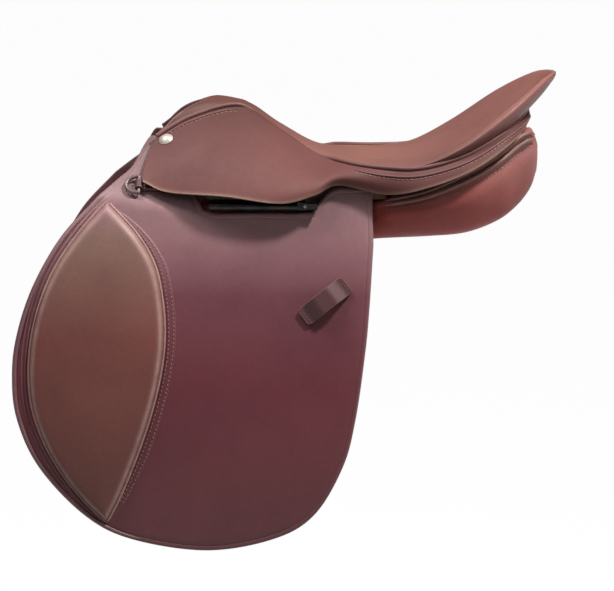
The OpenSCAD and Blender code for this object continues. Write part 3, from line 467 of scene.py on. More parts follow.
def foam(name):
    """Open foam with small cells."""
    m = Maker(name)
    return m.set(Base_Color=m.mix(m.noise(30.0), tone(214, 200, 150), tone(190, 172, 120)), Roughness=0.95,
        Normal=m.bump(m.cells(700.0), 0.6, 0.001))


def thread(name, light, dark):
    """Waxed thread, twisted."""
    m = Maker(name)
    twist = m.noise(1400.0, 2.0)
    return m.set(Base_Color=m.mix(twist, tone(*light), tone(*dark)), Roughness=0.6,
        Normal=m.bump(twist, 0.3, 0.0002))


# Pale brown of worn edges, which on the facing pipings also gives a painted highlight
WEAR_AND_HIGHLIGHT_BROWN = (176, 140, 122)
MATERIALS = {
    "seat_leather": leather("seat leather", [(-0.15, (102, 64, 57)), (-0.06, (113, 72, 65)),
        (0.0, (141, 95, 87)), (0.06, (146, 98, 87)), (0.13, (136, 90, 83)), (0.26, (147, 96, 88))],
        (190, 150, 132), rough=0.5, grain=0.8, axis="X"),
    # Skirt: darker towards its top, painted shade that evens out the stronger light falling there
    "skirt_leather": leather("skirt leather with painted shade", [(0.03, (130, 81, 77)), (0.14, (93, 57, 53))], WEAR_AND_HIGHLIGHT_BROWN,
        rough=0.6, grain=0.8, gloss=0.3),
    # Flap: the pale pinkish tones from a little below the skirt up into its head are a painted sheen; above
    # and below them the flap has its own burgundy
    "flap_leather": leather("flap leather with painted sheen", [(-0.32, (113, 66, 69)), (-0.15, (117, 56, 65)),
        (-0.06, (120, 69, 76)), (-0.02, (150, 103, 109)), (0.0, (163, 118, 122)), (0.045, (164, 126, 128)),
        (0.09, (112, 76, 76))], (150, 116, 116), rough=0.47, grain=0.9),
    # Knee pad: lighter and pinker towards its top, a painted highlight; its pale tone for worn edges also
    # paints the highlights on its roll and welt
    "pad_leather": leather("pad leather with painted highlight", [(-0.28, (112, 69, 62)), (-0.1, (130, 75, 68)),
        (0.0, (141, 106, 95)), (0.03, (156, 114, 116))], (200, 160, 152), rough=0.48, grain=1.0),
    # Panel: darker and redder towards its bottom, painted shade
    "panel_leather": leather("panel leather with painted shade", [(-0.02, (196, 69, 62)), (0.03, (180, 88, 81)),
        (0.06, (178, 106, 98)), (0.1, (180, 115, 110))], WEAR_AND_HIGHLIGHT_BROWN, rough=0.5, grain=0.8),
    "strap_leather": leather("strap leather", [(-0.25, (92, 60, 60)), (0.06, (98, 63, 64))],
        (140, 104, 92), rough=0.5, grain=1.0),
    "welt_leather": leather("welt leather", [(0.04, (128, 88, 84)), (0.14, (128, 88, 84))], WEAR_AND_HIGHLIGHT_BROWN,
        rough=0.5, grain=0.5),
    "foam": foam("seat foam"),
    "webbing": webbing("dark linen webbing, partly painted shade"),
    "tree_wood": wood("tree wood"),
    "plate_steel": metal("plate steel", (150, 150, 152), (110, 108, 106), 0.4),
    # Stirrup bars and catches nearly black: painted shade for the dark hollow under the lobe
    "bar_steel": metal("bar steel darkened as painted shade", (56, 55, 54), (34, 33, 33), 0.3),
    "dee_nickel": metal("dee nickel", (136, 117, 115), (106, 90, 88), 0.48, 0.8),
    "nail_nickel": metal("nail nickel", (226, 214, 203), (206, 192, 181), 0.42, 0.4),
}
THREAD = thread("waxed thread", (176, 134, 124), (134, 96, 90))
DARK_THREAD = thread("dark waxed thread", (138, 98, 98), (98, 64, 64))


# Shares of the way round an edge where it has points, and the wear of its rim
EDGE_SHARES = (0.25, 0.5, 0.75)
EDGE_WEAR = 0.75


class Mesh:
    """Vertices in millimetres, faces, and how pale each vertex is made by wear and by painted highlights.
    """

    def __init__(self):
        self.points = []
        self.faces = []
        self.wear_and_highlight = []

    def add(self, points, wear_and_highlight=0.0):
        start = len(self.points)
        self.points.extend(np.asarray(points, float).reshape(-1, 3))
        count = len(self.points) - start
        self.wear_and_highlight.extend(wear_and_highlight if hasattr(wear_and_highlight, "__len__") else [wear_and_highlight]*count)
        return list(range(start, start + count))

    def strips(self, loops, closed=True):
        """Faces between each loop of vertices and the next."""
        for a, b in zip(loops, loops[1:]):
            for j in range(len(a) if closed else len(a) - 1):
                m = (j + 1) % len(a)
                self.faces.append((a[j], a[m], b[m], b[j]))

    def edge(self, upper, lower, push, closed=True):
        """Rounded and worn edge between two loops of vertices, standing out by a push at each."""
        a, b = [np.array([self.points[v] for v in loop]) for loop in (upper, lower)]
        rounds = [self.add(lerp(a, b, s) + math.sin(math.pi*s)*push, 1.0) for s in EDGE_SHARES]
        self.strips([upper, *rounds, lower], closed)

    def tube(self, rings):
        self.strips(rings)
        self.faces += [tuple(reversed(rings[0])), tuple(rings[-1])]

    def mirrored(self):
        other = Mesh()
        other.points = [flip(p) for p in self.points]
        other.faces = [tuple(reversed(f)) for f in self.faces]
        other.wear_and_highlight = list(self.wear_and_highlight)
        return other


def shell(outer, inner, bulge, zipped=False):
    """Closed leather solid between two grids, with a rounded and worn edge all round.
    A zipped one has no edge at its last row, where its two halves meet."""
    mesh = Mesh()
    outer, inner = np.asarray(outer), np.asarray(inner)
    rows, cols = outer.shape[:2]
    first, second = mesh.add(outer), mesh.add(inner)
    at = np.arange(rows*cols).reshape(rows, cols)
    for i in range(rows - 1):
        for j in range(cols - 1):
            f = (at[i, j], at[i + 1, j], at[i + 1, j + 1], at[i, j + 1])
            mesh.faces.append(tuple(first[v] for v in f))
            mesh.faces.append(tuple(second[v] for v in reversed(f)))
    ring = [(0, j) for j in range(cols)] + [(i, cols - 1) for i in range(1, rows)]
    if zipped:
        ring = [(i, 0) for i in range(rows - 1, 0, -1)] + ring
    else:
        ring += [(rows - 1, j) for j in range(cols - 2, -1, -1)]
        ring += [(i, 0) for i in range(rows - 2, 0, -1)]
    upper, lower = [[face[at[place]] for place in ring] for face in (first, second)]
    push = []
    for i, j in ring:
        a = i if zipped and i == rows - 1 else min(max(i, 1), rows - 2)
        push.append(bulge*unit(outer[i, j] - outer[a, min(max(j, 1), cols - 2)]))
    mesh.edge(upper, lower, np.array(push), not zipped)
    for v in upper:
        mesh.wear_and_highlight[v] = EDGE_WEAR
    return mesh


def layer(row, stations, top, low, bulge, zipped=False):
    """Shell between two depths of a row of points, along its stations."""
    return shell(*[[row(k, d) for k in stations] for d in (top, low)], bulge, zipped)


def distance_to(outline, points):
    """Distance from each point to a closed outline, in the plane of the outline."""
    a = np.asarray(outline)
    b = np.roll(a, -1, axis=0)
    best = np.full(len(points), np.inf)
    for p, q in zip(a, b):
        way = q - p
        share = np.clip(((points - p) @ way)/(way @ way), 0, 1)
        best = np.minimum(best, norm(points - p - share[:, None]*way, axis=1))
    return best


def inside(outline, points):
    a = np.asarray(outline)
    b = np.roll(a, -1, axis=0)
    odd = np.zeros(len(points), bool)
    for p, q in zip(a, b):
        if p[1] == q[1]:
            continue
        cross = (p[1] > points[:, 1]) != (q[1] > points[:, 1])
        at = p[0] + (points[:, 1] - p[1])/(q[1] - p[1])*(q[0] - p[0])
        odd ^= cross & (points[:, 0] < at)
    return odd


def inset(outline, d):
    """Outline drawn in by a distance, or out by a negative one."""
    p = np.asarray(outline)
    t = np.roll(p, -1, axis=0) - np.roll(p, 1, axis=0)
    n = np.stack([-t[:, 1], t[:, 0]], axis=1)
    n /= norm(n, axis=1)[:, None]
    area = np.sum(p[:, 0]*np.roll(p[:, 1], -1) - np.roll(p[:, 0], -1)*p[:, 1])
    return p + n*(d if area > 0 else -d)


# How the points and the wear of a sheet are spread
RING_KEEP = 0.9
RING_ROOM = 0.6
HOLE_ROOM = 1.5
HOLE_KEEP = 0.9
HOLE_SIDES = 16
INSIDE_ONLY = 1
PLAN_NEAR = 1e-5
EDGE_NEAR = 0.05
WEAR_FADE = 2.5


def sheet(outline, base, t, insets, height, pitch, bulge, holes=(), wear_and_highlight_in=0.0):
    """Leather cut to an outline in x and z, with a rounded edge. Its outer face stands height(distance from
    the edge) over the base, its inner face lies t behind it. t may be a function of the place, and the
    paleness inside the edge, by wear and by painted highlights, a number or a function of the distance from
    it."""
    outline = np.asarray(outline)
    keep = [outline]
    for d in insets:
        ring = inset(outline, d)
        keep.append(ring[distance_to(outline, ring) > RING_KEEP*d])
    low, high = outline.min(0), outline.max(0)
    xs, zs = np.meshgrid(np.arange(low[0], high[0], pitch), np.arange(low[1], high[1], pitch))
    shift = (np.arange(len(xs)) % 2)*pitch/2
    field = np.stack([(xs + shift[:, None]).ravel(), zs.ravel()], axis=1)
    field = field[inside(outline, field)]
    field = field[distance_to(outline, field) > insets[-1] + RING_ROOM*pitch]
    for centre, r in holes:
        field = field[norm(field - centre, axis=1) > HOLE_ROOM*r]
    rims = [centre + r*np.hstack(circle(HOLE_SIDES)) for centre, r in holes]
    n = len(outline)
    flat = np.vstack(keep + rims + [field])
    edges = [(i, (i + 1) % n) for i in range(n)]
    start = sum(len(k) for k in keep)
    for rim in rims:
        edges += [(start + i, start + (i + 1) % len(rim)) for i in range(len(rim))]
        start += len(rim)
    made = geometry.delaunay_2d_cdt([Vector(p) for p in flat], edges, [list(range(n))], INSIDE_ONLY,
        PLAN_NEAR)
    plan = np.array([tuple(v) for v in made[0]])
    faces = [tuple(f) for f in made[2]]
    for centre, r in holes:
        faces = [f for f in faces if norm(plan[list(f)].mean(0) - centre) > HOLE_KEEP*r]
    depth = distance_to(outline, plan)
    y = base(plan[:, 0], plan[:, 1])
    if callable(wear_and_highlight_in):
        worn_and_highlit = wear_and_highlight_in(depth)
    else:
        worn_and_highlit = np.where(depth < EDGE_NEAR, EDGE_WEAR, wear_and_highlight_in*np.exp(-depth/WEAR_FADE))
    mesh = Mesh()
    first = mesh.add(np.stack([plan[:, 0], y - height(depth), plan[:, 1]], axis=1), worn_and_highlit)
    second = mesh.add(np.stack([plan[:, 0], y + (t(plan) if callable(t) else t), plan[:, 1]], axis=1))
    mesh.faces = [tuple(first[v] for v in f) for f in faces]
    mesh.faces += [tuple(second[v] for v in reversed(f)) for f in faces]
    for line in [outline] + rims:
        index = [int(np.argmin(np.abs(plan - p).sum(1))) for p in line]
        upper, lower = [[face[i] for i in index] for face in (first, second)]
        if line is outline:
            mesh.edge(upper, lower, np.insert(bulge*(outline - inset(outline, 1.0)), 1, 0, axis=1))
        else:
            mesh.strips([upper, lower])
    return mesh


def edged(drop, over, crease=0.0, at=0.0, wide=1.0):
    """Height of a sheet by the distance from its edge: rounded off there, with a pressed crease."""
    return lambda d: -drop*np.clip(1 - d/over, 0, 1)**2 - crease*bell(d, at, wide)


def rolled(d, r):
    """Rise of a rolled edge, from 0 at the edge to 1 at a distance r inside it."""
    return np.sqrt(1 - (1 - np.clip(d/r, 0, 1))**2)


# Direction that sets a cord's first ring, and size of a tapered tip
CORD_UP = (0.1, 0.3, 1.0)
CORD_TIP = 0.25


def bead(path, r, sides=10, wear_and_highlight=0.0, taper=0.0):
    """Round cord along a path, thinned towards its ends over a length."""
    mesh = Mesh()
    path = np.asarray(path, float)
    run = run_of(path)
    cos, sin = circle(sides)
    rings = []
    side = np.cross(path[1] - path[0], CORD_UP)
    for i, p in enumerate(path):
        t = unit(path[min(i + 1, len(path) - 1)] - path[max(i - 1, 0)])
        side = unit(side - (side @ t)*t)
        up = np.cross(side, t)
        near = min(run[i], run[-1] - run[i])
        q = r*min(1.0, lerp(CORD_TIP, 1.0, near/taper)) if taper else r
        rings.append(mesh.add(p + q*(cos*side + sin*up), wear_and_highlight))
    mesh.tube(rings)
    return mesh


# Form of a stitch: shares along it with its size there
STITCH_FORM = ((0.0, 0.35), (0.2, 0.9), (0.5, 1.0), (0.8, 0.9), (1.0, 0.35))
STITCH_FLAT = 1.2
STITCH_PROUD = 0.25
STITCH_SIDES = 6


def stitches(path, out, pitch=5.0, length=3.3, r=0.45):
    """Row of sewn stitches lying on a surface, with its outward direction at each point or one for all."""
    mesh = Mesh()
    path = np.asarray(path, float)
    out = np.broadcast_to(out, path.shape)
    run = run_of(path)
    cos, sin = circle(STITCH_SIDES)
    for at in np.arange(pitch/2, run[-1] - pitch/2, pitch):
        a, b = along(run, path, at - length/2), along(run, path, at + length/2)
        o = unit(along(run, out, at))
        w = unit(np.cross(b - a, o))
        rings = []
        for share, size in STITCH_FORM:
            c = lerp(a, b, share) + o*r*STITCH_PROUD
            rings.append(mesh.add(c + r*size*(cos*w*STITCH_FLAT + sin*o)))
        mesh.tube(rings)
    return mesh


def join(*meshes):
    mesh = Mesh()
    for m in meshes:
        at = mesh.add(m.points, m.wear_and_highlight)
        mesh.faces += [tuple(at[v] for v in f) for f in m.faces]
    return mesh


# Merging distance in metres, and the angle of a sharp edge
WELD = 0.00002
CRISP = math.radians(55)


def put(name, data):
    obj = bpy.data.objects.new(name, data)
    scene.collection.objects.link(obj)
    return obj


def make(name, mesh, slot, body=None, stands_for=(), finish=None):
    """Object of a mesh, with its material, riding on a body if one is given."""
    data = bpy.data.meshes.new(name)
    data.from_pydata([tuple(p) for p in np.asarray(mesh.points)*MM], [], mesh.faces)
    worn_and_highlit = data.attributes.new("wear_and_highlight", "FLOAT", "POINT")
    worn_and_highlit.data.foreach_set("value", np.asarray(mesh.wear_and_highlight, np.float32))
    work = bmesh.new()
    work.from_mesh(data)
    bmesh.ops.remove_doubles(work, verts=work.verts, dist=WELD)
    bmesh.ops.recalc_face_normals(work, faces=work.faces)
    work.to_mesh(data)
    work.free()
    data.shade_smooth()
    data.set_sharp_from_angle(angle=CRISP)
    data.materials.append(finish or MATERIALS[slot])
    obj = put(name, data)
    if stands_for:
        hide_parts(*stands_for)
    if body:
        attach(obj, body)
    return obj


def both(name, mesh, slot, body, stands_for=(), finish=None):
    """The left-hand piece and its mirror image; body and node names get the side in front."""
    made = []
    for side, m in (("left", mesh), ("right", mesh.mirrored())):
        rides = body if body in (None, "saddle") else f"{side}_{body}"
        made.append(make(f"{side}_{name}", m, slot, rides, [f"{side}_{n}" for n in stands_for], finish))
    return made


def bend(pair, child, fore, rear, down, above, below):
    """Bake the world placement of a left and a right piece into their meshes."""
    axis = unit(rear - fore)
    down = unit(down - (down @ axis)*axis)
    for side, obj in zip(("left", "right"), pair):
        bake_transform(obj)


# Seat: one crowned cover over the foam, with a raised rim that sharpens towards the cantle
ks = np.linspace(0, LAST, 8*LAST + 1)
across = np.concatenate([np.linspace(0, 0.46, 14), np.linspace(0.5, 0.72, 14), np.linspace(0.76, 1, 9)])
# Ribs where the seam is turned under along the twist
TWIST_FROM = 1.9
TWIST_TO = 4.6
TWIST_EASE = 0.5
# Share of the seam bead's room that leather takes, and its end beside a hidden seam
TUCK = 0.4
SEAM_NEAR = 0.001
RIDGE = 1.3
# Lip at the cantle: fullness below it, rounds of smoothing, raise, place, width and reach into the seat
LIP_FULL = 3.0
LIP_TURNS = 8
LIP_RAISE = 3.5
LIP_AT = RIM_SHARE + 0.03
LIP_WIDE = 0.07
LIP_REACH = 0.24
# Strength of the pale line along the cantle's rim, partly wear and partly a painted highlight
SEAT_RIM_WEAR_AND_HIGHLIGHT = 0.4


def sunk(k):
    """How far the seam is turned under along the twist, where no bead shows: from 0 to 1."""
    return ease(min(k - TWIST_FROM, TWIST_TO - k)/TWIST_EASE)


def tucked(k):
    return lerp(TUCK, 1, sunk(k))


def seat_shares(k):
    return across*lerp(seat_end(k), 1 - SEAM_NEAR, tucked(k))


def seat_row(k, d):
    """Points across the seat, with a ridge along the rim that turns into a round lip at the cantle."""
    lip = look(LIP, k)
    shares = seat_shares(k)
    ridge = RIDGE*grown(k, start=5.5, over=2.5)*(1 - lip)*bell(shares, RIM_SHARE, width=0.028)
    half = np.array([seat_point(k, s, d) for s in shares]) - ridge[:, None]*unit(look(RIM_IN, k))
    if d == 0:
        full = LIP_FULL*lip*bell(shares, RIM_SHARE + 0.08, width=0.05)
        half = half - full[:, None]*unit(look(WELT_IN, k))
    near = lip*bell(shares, LIP_AT, LIP_WIDE)[1:-1, None]
    for _ in range(LIP_TURNS):
        half[1:-1] += near*((half[:-2] + half[2:])/2 - half[1:-1])
    reach = np.where(shares < LIP_AT, LIP_REACH, LIP_WIDE)
    half[:, 2] += LIP_RAISE*lip*bell(shares, LIP_AT, reach)
    return mirrored_on(half[::-1])


# Pale line along the rim towards the cantle: partly wear, partly a painted highlight
def seat_rim_wear_and_highlight(k):
    worn_and_highlit = SEAT_RIM_WEAR_AND_HIGHLIGHT*ease(grown(k, start=6, over=3))
    half = worn_and_highlit*bell(seat_shares(k), RIM_SHARE + 0.005, width=0.018)
    return np.concatenate([half[::-1], half[1:]])


seat = layer(seat_row, ks, 0, SEAT_T, bulge=0.6, zipped=True)
for row, k in enumerate(ks):
    for i, worn_and_highlit in enumerate(seat_rim_wear_and_highlight(k), row*(2*len(across) - 1)):
        seat.wear_and_highlight[i] = max(seat.wear_and_highlight[i], worn_and_highlit)
make("seat_cushion", seat, "seat_leather", "saddle", ["seat_cover"])

# Foam: ribs free at its ends, and its reach across the seat in front and behind
FOAM_SHORT = 0.5
FOAM_FORE = 0.84
FOAM_REAR = 0.5
FOAM_D = SEAT_T + 2*LAY_GAP


def foam_row(k, d):
    reach = lerp(FOAM_FORE, FOAM_REAR, grown(k, start=6, over=2))
    return mirrored_on([seat_point(k, s*reach, d) for s in np.linspace(0, 1, 15)[::-1]])


foam_ks = np.linspace(FOAM_SHORT, LAST - FOAM_SHORT, 71)
foam_block = layer(foam_row, foam_ks, FOAM_D, FOAM_D + FOAM_T, bulge=0.5)
make("seat_padding", foam_block, "foam", "saddle", ["seat_foam"])

# Seam bead round the seat, proud or sunk by shares of its radius, and one over the pommel
WELT_PROUD = 0.4
WELT_SUNK = 1.3
welt_half = [column(WELT, k) - lerp(WELT_PROUD, -WELT_SUNK, sunk(k))*WELT_R*unit(look(WELT_IN, k))
    for k in np.linspace(0, LAST, 12*LAST + 1)]
head_half = [welt_half[0]] + [seat_point(0, r, SEAT_T/2) for r in np.linspace(seat_end(0), 0, 40)]
head_bead = bead(even(mirrored_on(head_half), 2.0), r=1.9)
seams = join(bead(mirrored_on(welt_half), WELT_R, sides=12), head_bead)
make("seat_seam_bead", seams, "welt_leather", "saddle", ["seat_welt"])

# Second bead and stitches below the seam: first and last rib, both drops, taper
SEAM_RUNS = ((0.02, 2.0, 8.0, 10.6, 20.0), (5.2, 10.6, 9.5, 12.2, 30.0))
SECOND_UP = 0.3


def skirt_face(k, w):
    return skirt_point(k, w, 0)


def skirt_out(k, w):
    a = skirt_face(min(k + RIB_STEP, LAST), w) - skirt_face(max(k - RIB_STEP, 0), w)
    b = skirt_face(k, w - DOWN_STEP) - skirt_face(k, w + DOWN_STEP)
    return unit(np.cross(a, b))


def seam_line(k_from, k_to, drop):
    """Line on the skirt at a distance below the seam, with the outward directions along it."""
    places = [(k, down_share(k, drop)) for k in np.linspace(k_from, k_to, 70)]
    return [np.array([at(k, w) for k, w in places]) for at in (skirt_face, skirt_out)]


second, sewn = [], []
for k_from, k_to, drop, sewn_drop, taper in SEAM_RUNS:
    line, out = seam_line(k_from, k_to, drop)
    second.append(bead(line + SECOND_UP*out, r=1.1, sides=8, taper=taper))
    sewn.append(stitches(*seam_line(k_from, k_to, sewn_drop)))
both("skirt_seam_bead", join(*second), "welt_leather", "saddle")
both("skirt_stitches", join(*sewn), "skirt_leather", "saddle", (), THREAD)

# Skirts: one sheet from the seam to the edge
skirt_ks = np.concatenate([[0, 0.006, 0.02, 0.05, 0.1], np.linspace(0.18, LAST - 0.02, 96)])
skirt_shares = np.concatenate([np.linspace(0, 0.9, 25), [0.93, 0.955, 0.975, 0.988, 0.996, 1]])
# Line across the lobe, from a share down the front end to a rib at the edge
LOBE_TOP = 0.42
LOBE_RIB = 5


def skirt_row(k, d):
    top = lerp(down_share(k, WELT_ROOM), SEAM_NEAR, tucked(k))
    return [skirt_point(k, lerp(top, 1, s), d) for s in skirt_shares]


skirt_top = np.array([skirt_row(k, 0) for k in skirt_ks])
skirt = shell(skirt_top, [skirt_row(k, SKIRT_T) for k in skirt_ks], bulge=0.7)
from_edge = norm(skirt_top - skirt_top[:, -1:], axis=2).ravel()
skirt.wear_and_highlight[:len(from_edge)] = bell(from_edge, middle=0, width=2.2)
skirts = both("skirt_leather", skirt, "skirt_leather", None, ["skirt", "skirt_lobe"])
lobe_down = skirt_face(LOBE_RIB/2, 1) - skirt_face(LOBE_RIB/2, 0.5)
bend(skirts, "lobe", skirt_face(0, LOBE_TOP), skirt_face(LOBE_RIB, 1), lobe_down, above=5, below=13)

# Flaps: one sheet from under the skirt to the lower edge
flap_curve = curve_through([flap_place(s) for s in FLAP_SHARES], 320)
head_curve = curve_through([np.array(s)*[SEAT_L, RISE] for s in HEAD_SHARES], 140)
flap_outline = even(flap_curve + head_curve, 4.0, True)
flap_insets = [0.4, 0.9, 1.6, 3.4, 4.1, 4.6, 5.1, 5.8]
# Share of the flap's thickness that is pared off at most
SKIVE = 0.55


def flap_skived(plan):
    """Thickness of the flap, pared down towards its upper edge behind the stirrup bar."""
    share = grown(plan[:, 1], start=32, over=10)*grown(plan[:, 0], start=0, over=12)
    return FLAP_T*(1 - SKIVE*share)


flap = sheet(flap_outline, head_y, flap_skived, flap_insets,
    edged(drop=0.8, over=1.6, crease=0.55, at=4.6, wide=0.55), pitch=6.0, bulge=0.9, wear_and_highlight_in=0.35)
flaps = both("flap_leather", flap, "flap_leather", None, ["flap", "flap_head"])
bend_ends = [vec(x, head_y(x, z), z) for x, z in (BEND_FORE, BEND_REAR)]
bend(flaps, "flap_leaf", *bend_ends, vec(0, -LEAN_TOP, -1), above=10, below=6)


def behind(depth):
    """Face of the flap moved in by a depth, as the base of a sheet."""
    return lambda x, z: sheet_y(z) + depth


def on_sheet(line, lift):
    """Points of a line in x and z on the outer face of the flap, lifted off it."""
    line = np.asarray(line)
    lean = face_lean(line[:, 1])
    y = sheet_y(line[:, 1]) - lift*np.sqrt(1 + lean*lean)
    return np.stack([line[:, 0], y, line[:, 1]], axis=1)


def sheet_out(line):
    lean = face_lean(np.asarray(line)[:, 1])
    return np.stack([0*lean, -1/np.sqrt(1 + lean*lean), lean/np.sqrt(1 + lean*lean)], axis=1)


def beside(line, far, d):
    """Line moved sideways by d, away from a point; d may differ from point to point."""
    line = np.asarray(line)
    t = np.gradient(line, axis=0)
    n = np.stack([t[:, 1], -t[:, 0]], axis=1)
    n /= norm(n, axis=1)[:, None]
    if np.sum((line - far)*n) < 0:
        n = -n
    return line + n*np.broadcast_to(d, len(line))[:, None]


# Knee pads: a crowned pillow, a rolled welt round it, a sewn band behind it and a border in front of it
pad_mid = flap_place([0.24, 0.56])
pad_fore, pad_rear = [np.array(curve_through([flap_place(s) for s in shares], 120))
    for shares in (PAD_FORE_SHARES, PAD_REAR_SHARES)]
pad_outline = even(np.vstack([pad_fore[:-1], pad_rear[:-1]]), 3.0, True)
pad_insets = [0.3, 0.7, 1.2, 1.9, 2.8, 3.8, 5.0, 6.5, 8.5, 11.0]
PAD_EDGE = 1.2
PAD_ROLL = 9.0
PAD_ROLL_SHARE = 0.62
PAD_REACH = 52.0
# Strength of the highlight painted on the crest of the pad's roll
PAD_PAINTED_HIGHLIGHT = 0.75
PAD_WELT_OUT = 0.9


def pad_height(d):
    crown = np.sin(np.clip(d/PAD_REACH, 0, 1)*math.pi/2)
    return PAD_EDGE + (PAD_T - PAD_EDGE)*lerp(crown, rolled(d, PAD_ROLL), PAD_ROLL_SHARE)


# A pale band on the crest of the roll is a painted highlight
pad = sheet(pad_outline, behind(-LAY_GAP), 0.0, pad_insets, pad_height, pitch=5.0, bulge=0.4,
    wear_and_highlight_in=lambda d: PAD_PAINTED_HIGHLIGHT*bell(d, middle=3.2, width=2.2))
for obj in both("knee_pad_pillow", pad, "pad_leather", "flap_leaf", ["knee_pad"]):
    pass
# The welt is drawn all in the pale tone: a painted highlight along the roll
pad_welt = bead(on_sheet(inset(pad_outline, -PAD_WELT_OUT), lift=1.0), r=1.3, sides=8, wear_and_highlight=1.0)
both("knee_pad_welt", pad_welt, "pad_leather", "flap_leaf")

# Band behind the pad, with its edges and stitch rows by distance from the pad
BAND_EDGES = (3.2, 12.5)
BAND_ROWS = (5.2, 10.4)
BAND_UP = 0.7
BAND_ROLL = 1.5
BAND_LAY = 0.05
# Points that the band tapers over, share left at its tip, points cut from a stitch row
BAND_TAPER = 26
BAND_TIP = 0.02
ROW_CUT = 8
band_run = pad_rear[2:-3]
order = np.arange(len(band_run))
band_end = np.sqrt(np.clip(np.minimum(order, order[::-1])/BAND_TAPER, BAND_TIP, 1))
band_in, band_out = [beside(band_run, pad_mid, d*band_end) for d in BAND_EDGES]
band = sheet(even(np.vstack([band_in, band_out[::-1]]), 3.0, True), behind(-BAND_LAY), 0.0, [0.3, 0.8, 1.5],
    lambda d: BAND_UP*rolled(d, BAND_ROLL) + BAND_LAY, pitch=3.0, bulge=0.1, wear_and_highlight_in=lambda d: 0*d)
both("knee_pad_band", band, "flap_leather", "flap_leaf")
rows = []
for d in BAND_ROWS:
    line = beside(band_run, pad_mid, d*band_end)[ROW_CUT:-ROW_CUT]
    rows.append(stitches(on_sheet(line, BAND_UP), sheet_out(line), pitch=4.4, length=2.8, r=0.5))
both("knee_pad_stitches", join(*rows), "flap_leather", "flap_leaf", (), THREAD)

# Border lines in front of the pad: points cut from both ends, and distance from the pad
BORDERS = ((4, 4.6), (16, 8.6))
borders = []
for cut, d in BORDERS:
    line = on_sheet(beside(pad_fore[cut:-cut], pad_mid, d), lift=0.2)
    borders.append(bead(line, r=1.1, sides=8, wear_and_highlight=0.35, taper=25.0))
both("knee_pad_border", join(*borders), "flap_leather", "flap_leaf")
# Roll along the front edge of the flap
LEAD_END = FLAP_MID[0] - 30
LEAD_IN = 2.6
lead = beside([p for p in flap_curve if p[0] < LEAD_END], pad_mid, -LEAD_IN)[6:-8]
lead_roll = bead(on_sheet(lead, lift=0), r=2.0, wear_and_highlight=0.7, taper=30.0)
both("flap_lead_roll", lead_roll, "flap_leather", "flap_leaf")

# Keepers: a strap standing off the flap in the middle, sewn down at both ends
keeper_at = flap_place([0.867, 0.707])
KEEPER_TURN = math.radians(38)
keeper_lean = math.atan(face_lean(keeper_at[1]))
face_up = vec(0, math.sin(keeper_lean), math.cos(keeper_lean))
face_out = vec(0, -math.cos(keeper_lean), math.sin(keeper_lean))
face_x = vec(1.0, 0, 0)
keeper_u = face_x*math.cos(KEEPER_TURN) + face_up*math.sin(KEEPER_TURN)
keeper_v = -face_x*math.sin(KEEPER_TURN) + face_up*math.cos(KEEPER_TURN)
keeper_o = vec(keeper_at[0], sheet_y(keeper_at[1]) - LAY_GAP, keeper_at[1])
keeper_us = np.linspace(-KEEPER_L/2, KEEPER_L/2, 61)
keeper_vs = np.concatenate([[-1, -0.96, -0.88], np.linspace(-0.75, 0.75, 11), [0.88, 0.96, 1]])*KEEPER_W/2
# Distances from a keeper's middle where it comes down and stops rising, and narrowing of its ends
FOOT = 0.84*KEEPER_L/2
CROWN = 0.22*KEEPER_L/2
KEEPER_NARROW = 0.4
KEEPER_SEW_IN = 3.5
KEEPER_SEW = 6.5


def keeper_point(u, v, h):
    return keeper_o + keeper_u*u + keeper_v*v + face_out*h


def keeper_row(u, up):
    """Points across the strap, which arches off the flap and is narrower at its rounded ends."""
    lift = KEEPER_ROOM*ease((FOOT - abs(u))/(FOOT - CROWN))
    past = grown(abs(u), start=FOOT, over=KEEPER_L/2 - FOOT)
    narrow = math.sqrt(1 - KEEPER_NARROW*past**2)
    return [keeper_point(u, v*narrow, lift + up) for v in keeper_vs]


keeper = layer(keeper_row, keeper_us, KEEPER_T, 0, bulge=0.5)
both("keeper_strap", keeper, "strap_leather", "flap_leaf", ["keeper"])
keeper_rows = []
for end in (-1, 1):
    u = end*(KEEPER_L/2 - KEEPER_SEW_IN)
    line = [keeper_point(u, v, KEEPER_T) for v in np.linspace(-KEEPER_SEW, KEEPER_SEW, 9)]
    keeper_rows.append(stitches(line, face_out, pitch=3.6, length=2.6, r=0.4))
both("keeper_stitches", join(*keeper_rows), "strap_leather", "flap_leaf", (), DARK_THREAD)

# Sweat flaps, buckle guards and billets, in layers behind the flap
GUARD_IN = FLAP_T + GUARD_ROOM
BILLET_IN = GUARD_IN + GUARD_T + RUN_GAP
SWEAT_IN = BILLET_IN + BILLET_T + RUN_GAP
PANEL_IN = SWEAT_IN + SWEAT_T + LAY_GAP
# Size beside the flap, height of the top edge and its ends
SWEAT_SHARE = 0.93
SWEAT_TOP = 0.15*RISE
SWEAT_TOP_ENDS = (1/6, 5/6)
sweat_line = [lerp(FLAP_MID, flap_place(s), SWEAT_SHARE) for s in FLAP_SHARES]
sweat_ends = [lerp(sweat_line[-1][0], sweat_line[0][0], s) for s in SWEAT_TOP_ENDS]
sweat_top = [vec(x, SWEAT_TOP) for x in np.linspace(*sweat_ends, 20)]
sweat_outline = even(curve_through(sweat_line, 240) + sweat_top, 5.0, True)
sweat = sheet(sweat_outline, behind(SWEAT_IN), SWEAT_T, [0.5, 1.2, 3.5, 4.5, 5.5],
    edged(drop=0.6, over=1.2, crease=0.4, at=4.5, wide=0.6), pitch=9.0, bulge=0.5, wear_and_highlight_in=0.2)
both("sweat_flap_leather", sweat, "panel_leather", "saddle", ["sweat_flap"])

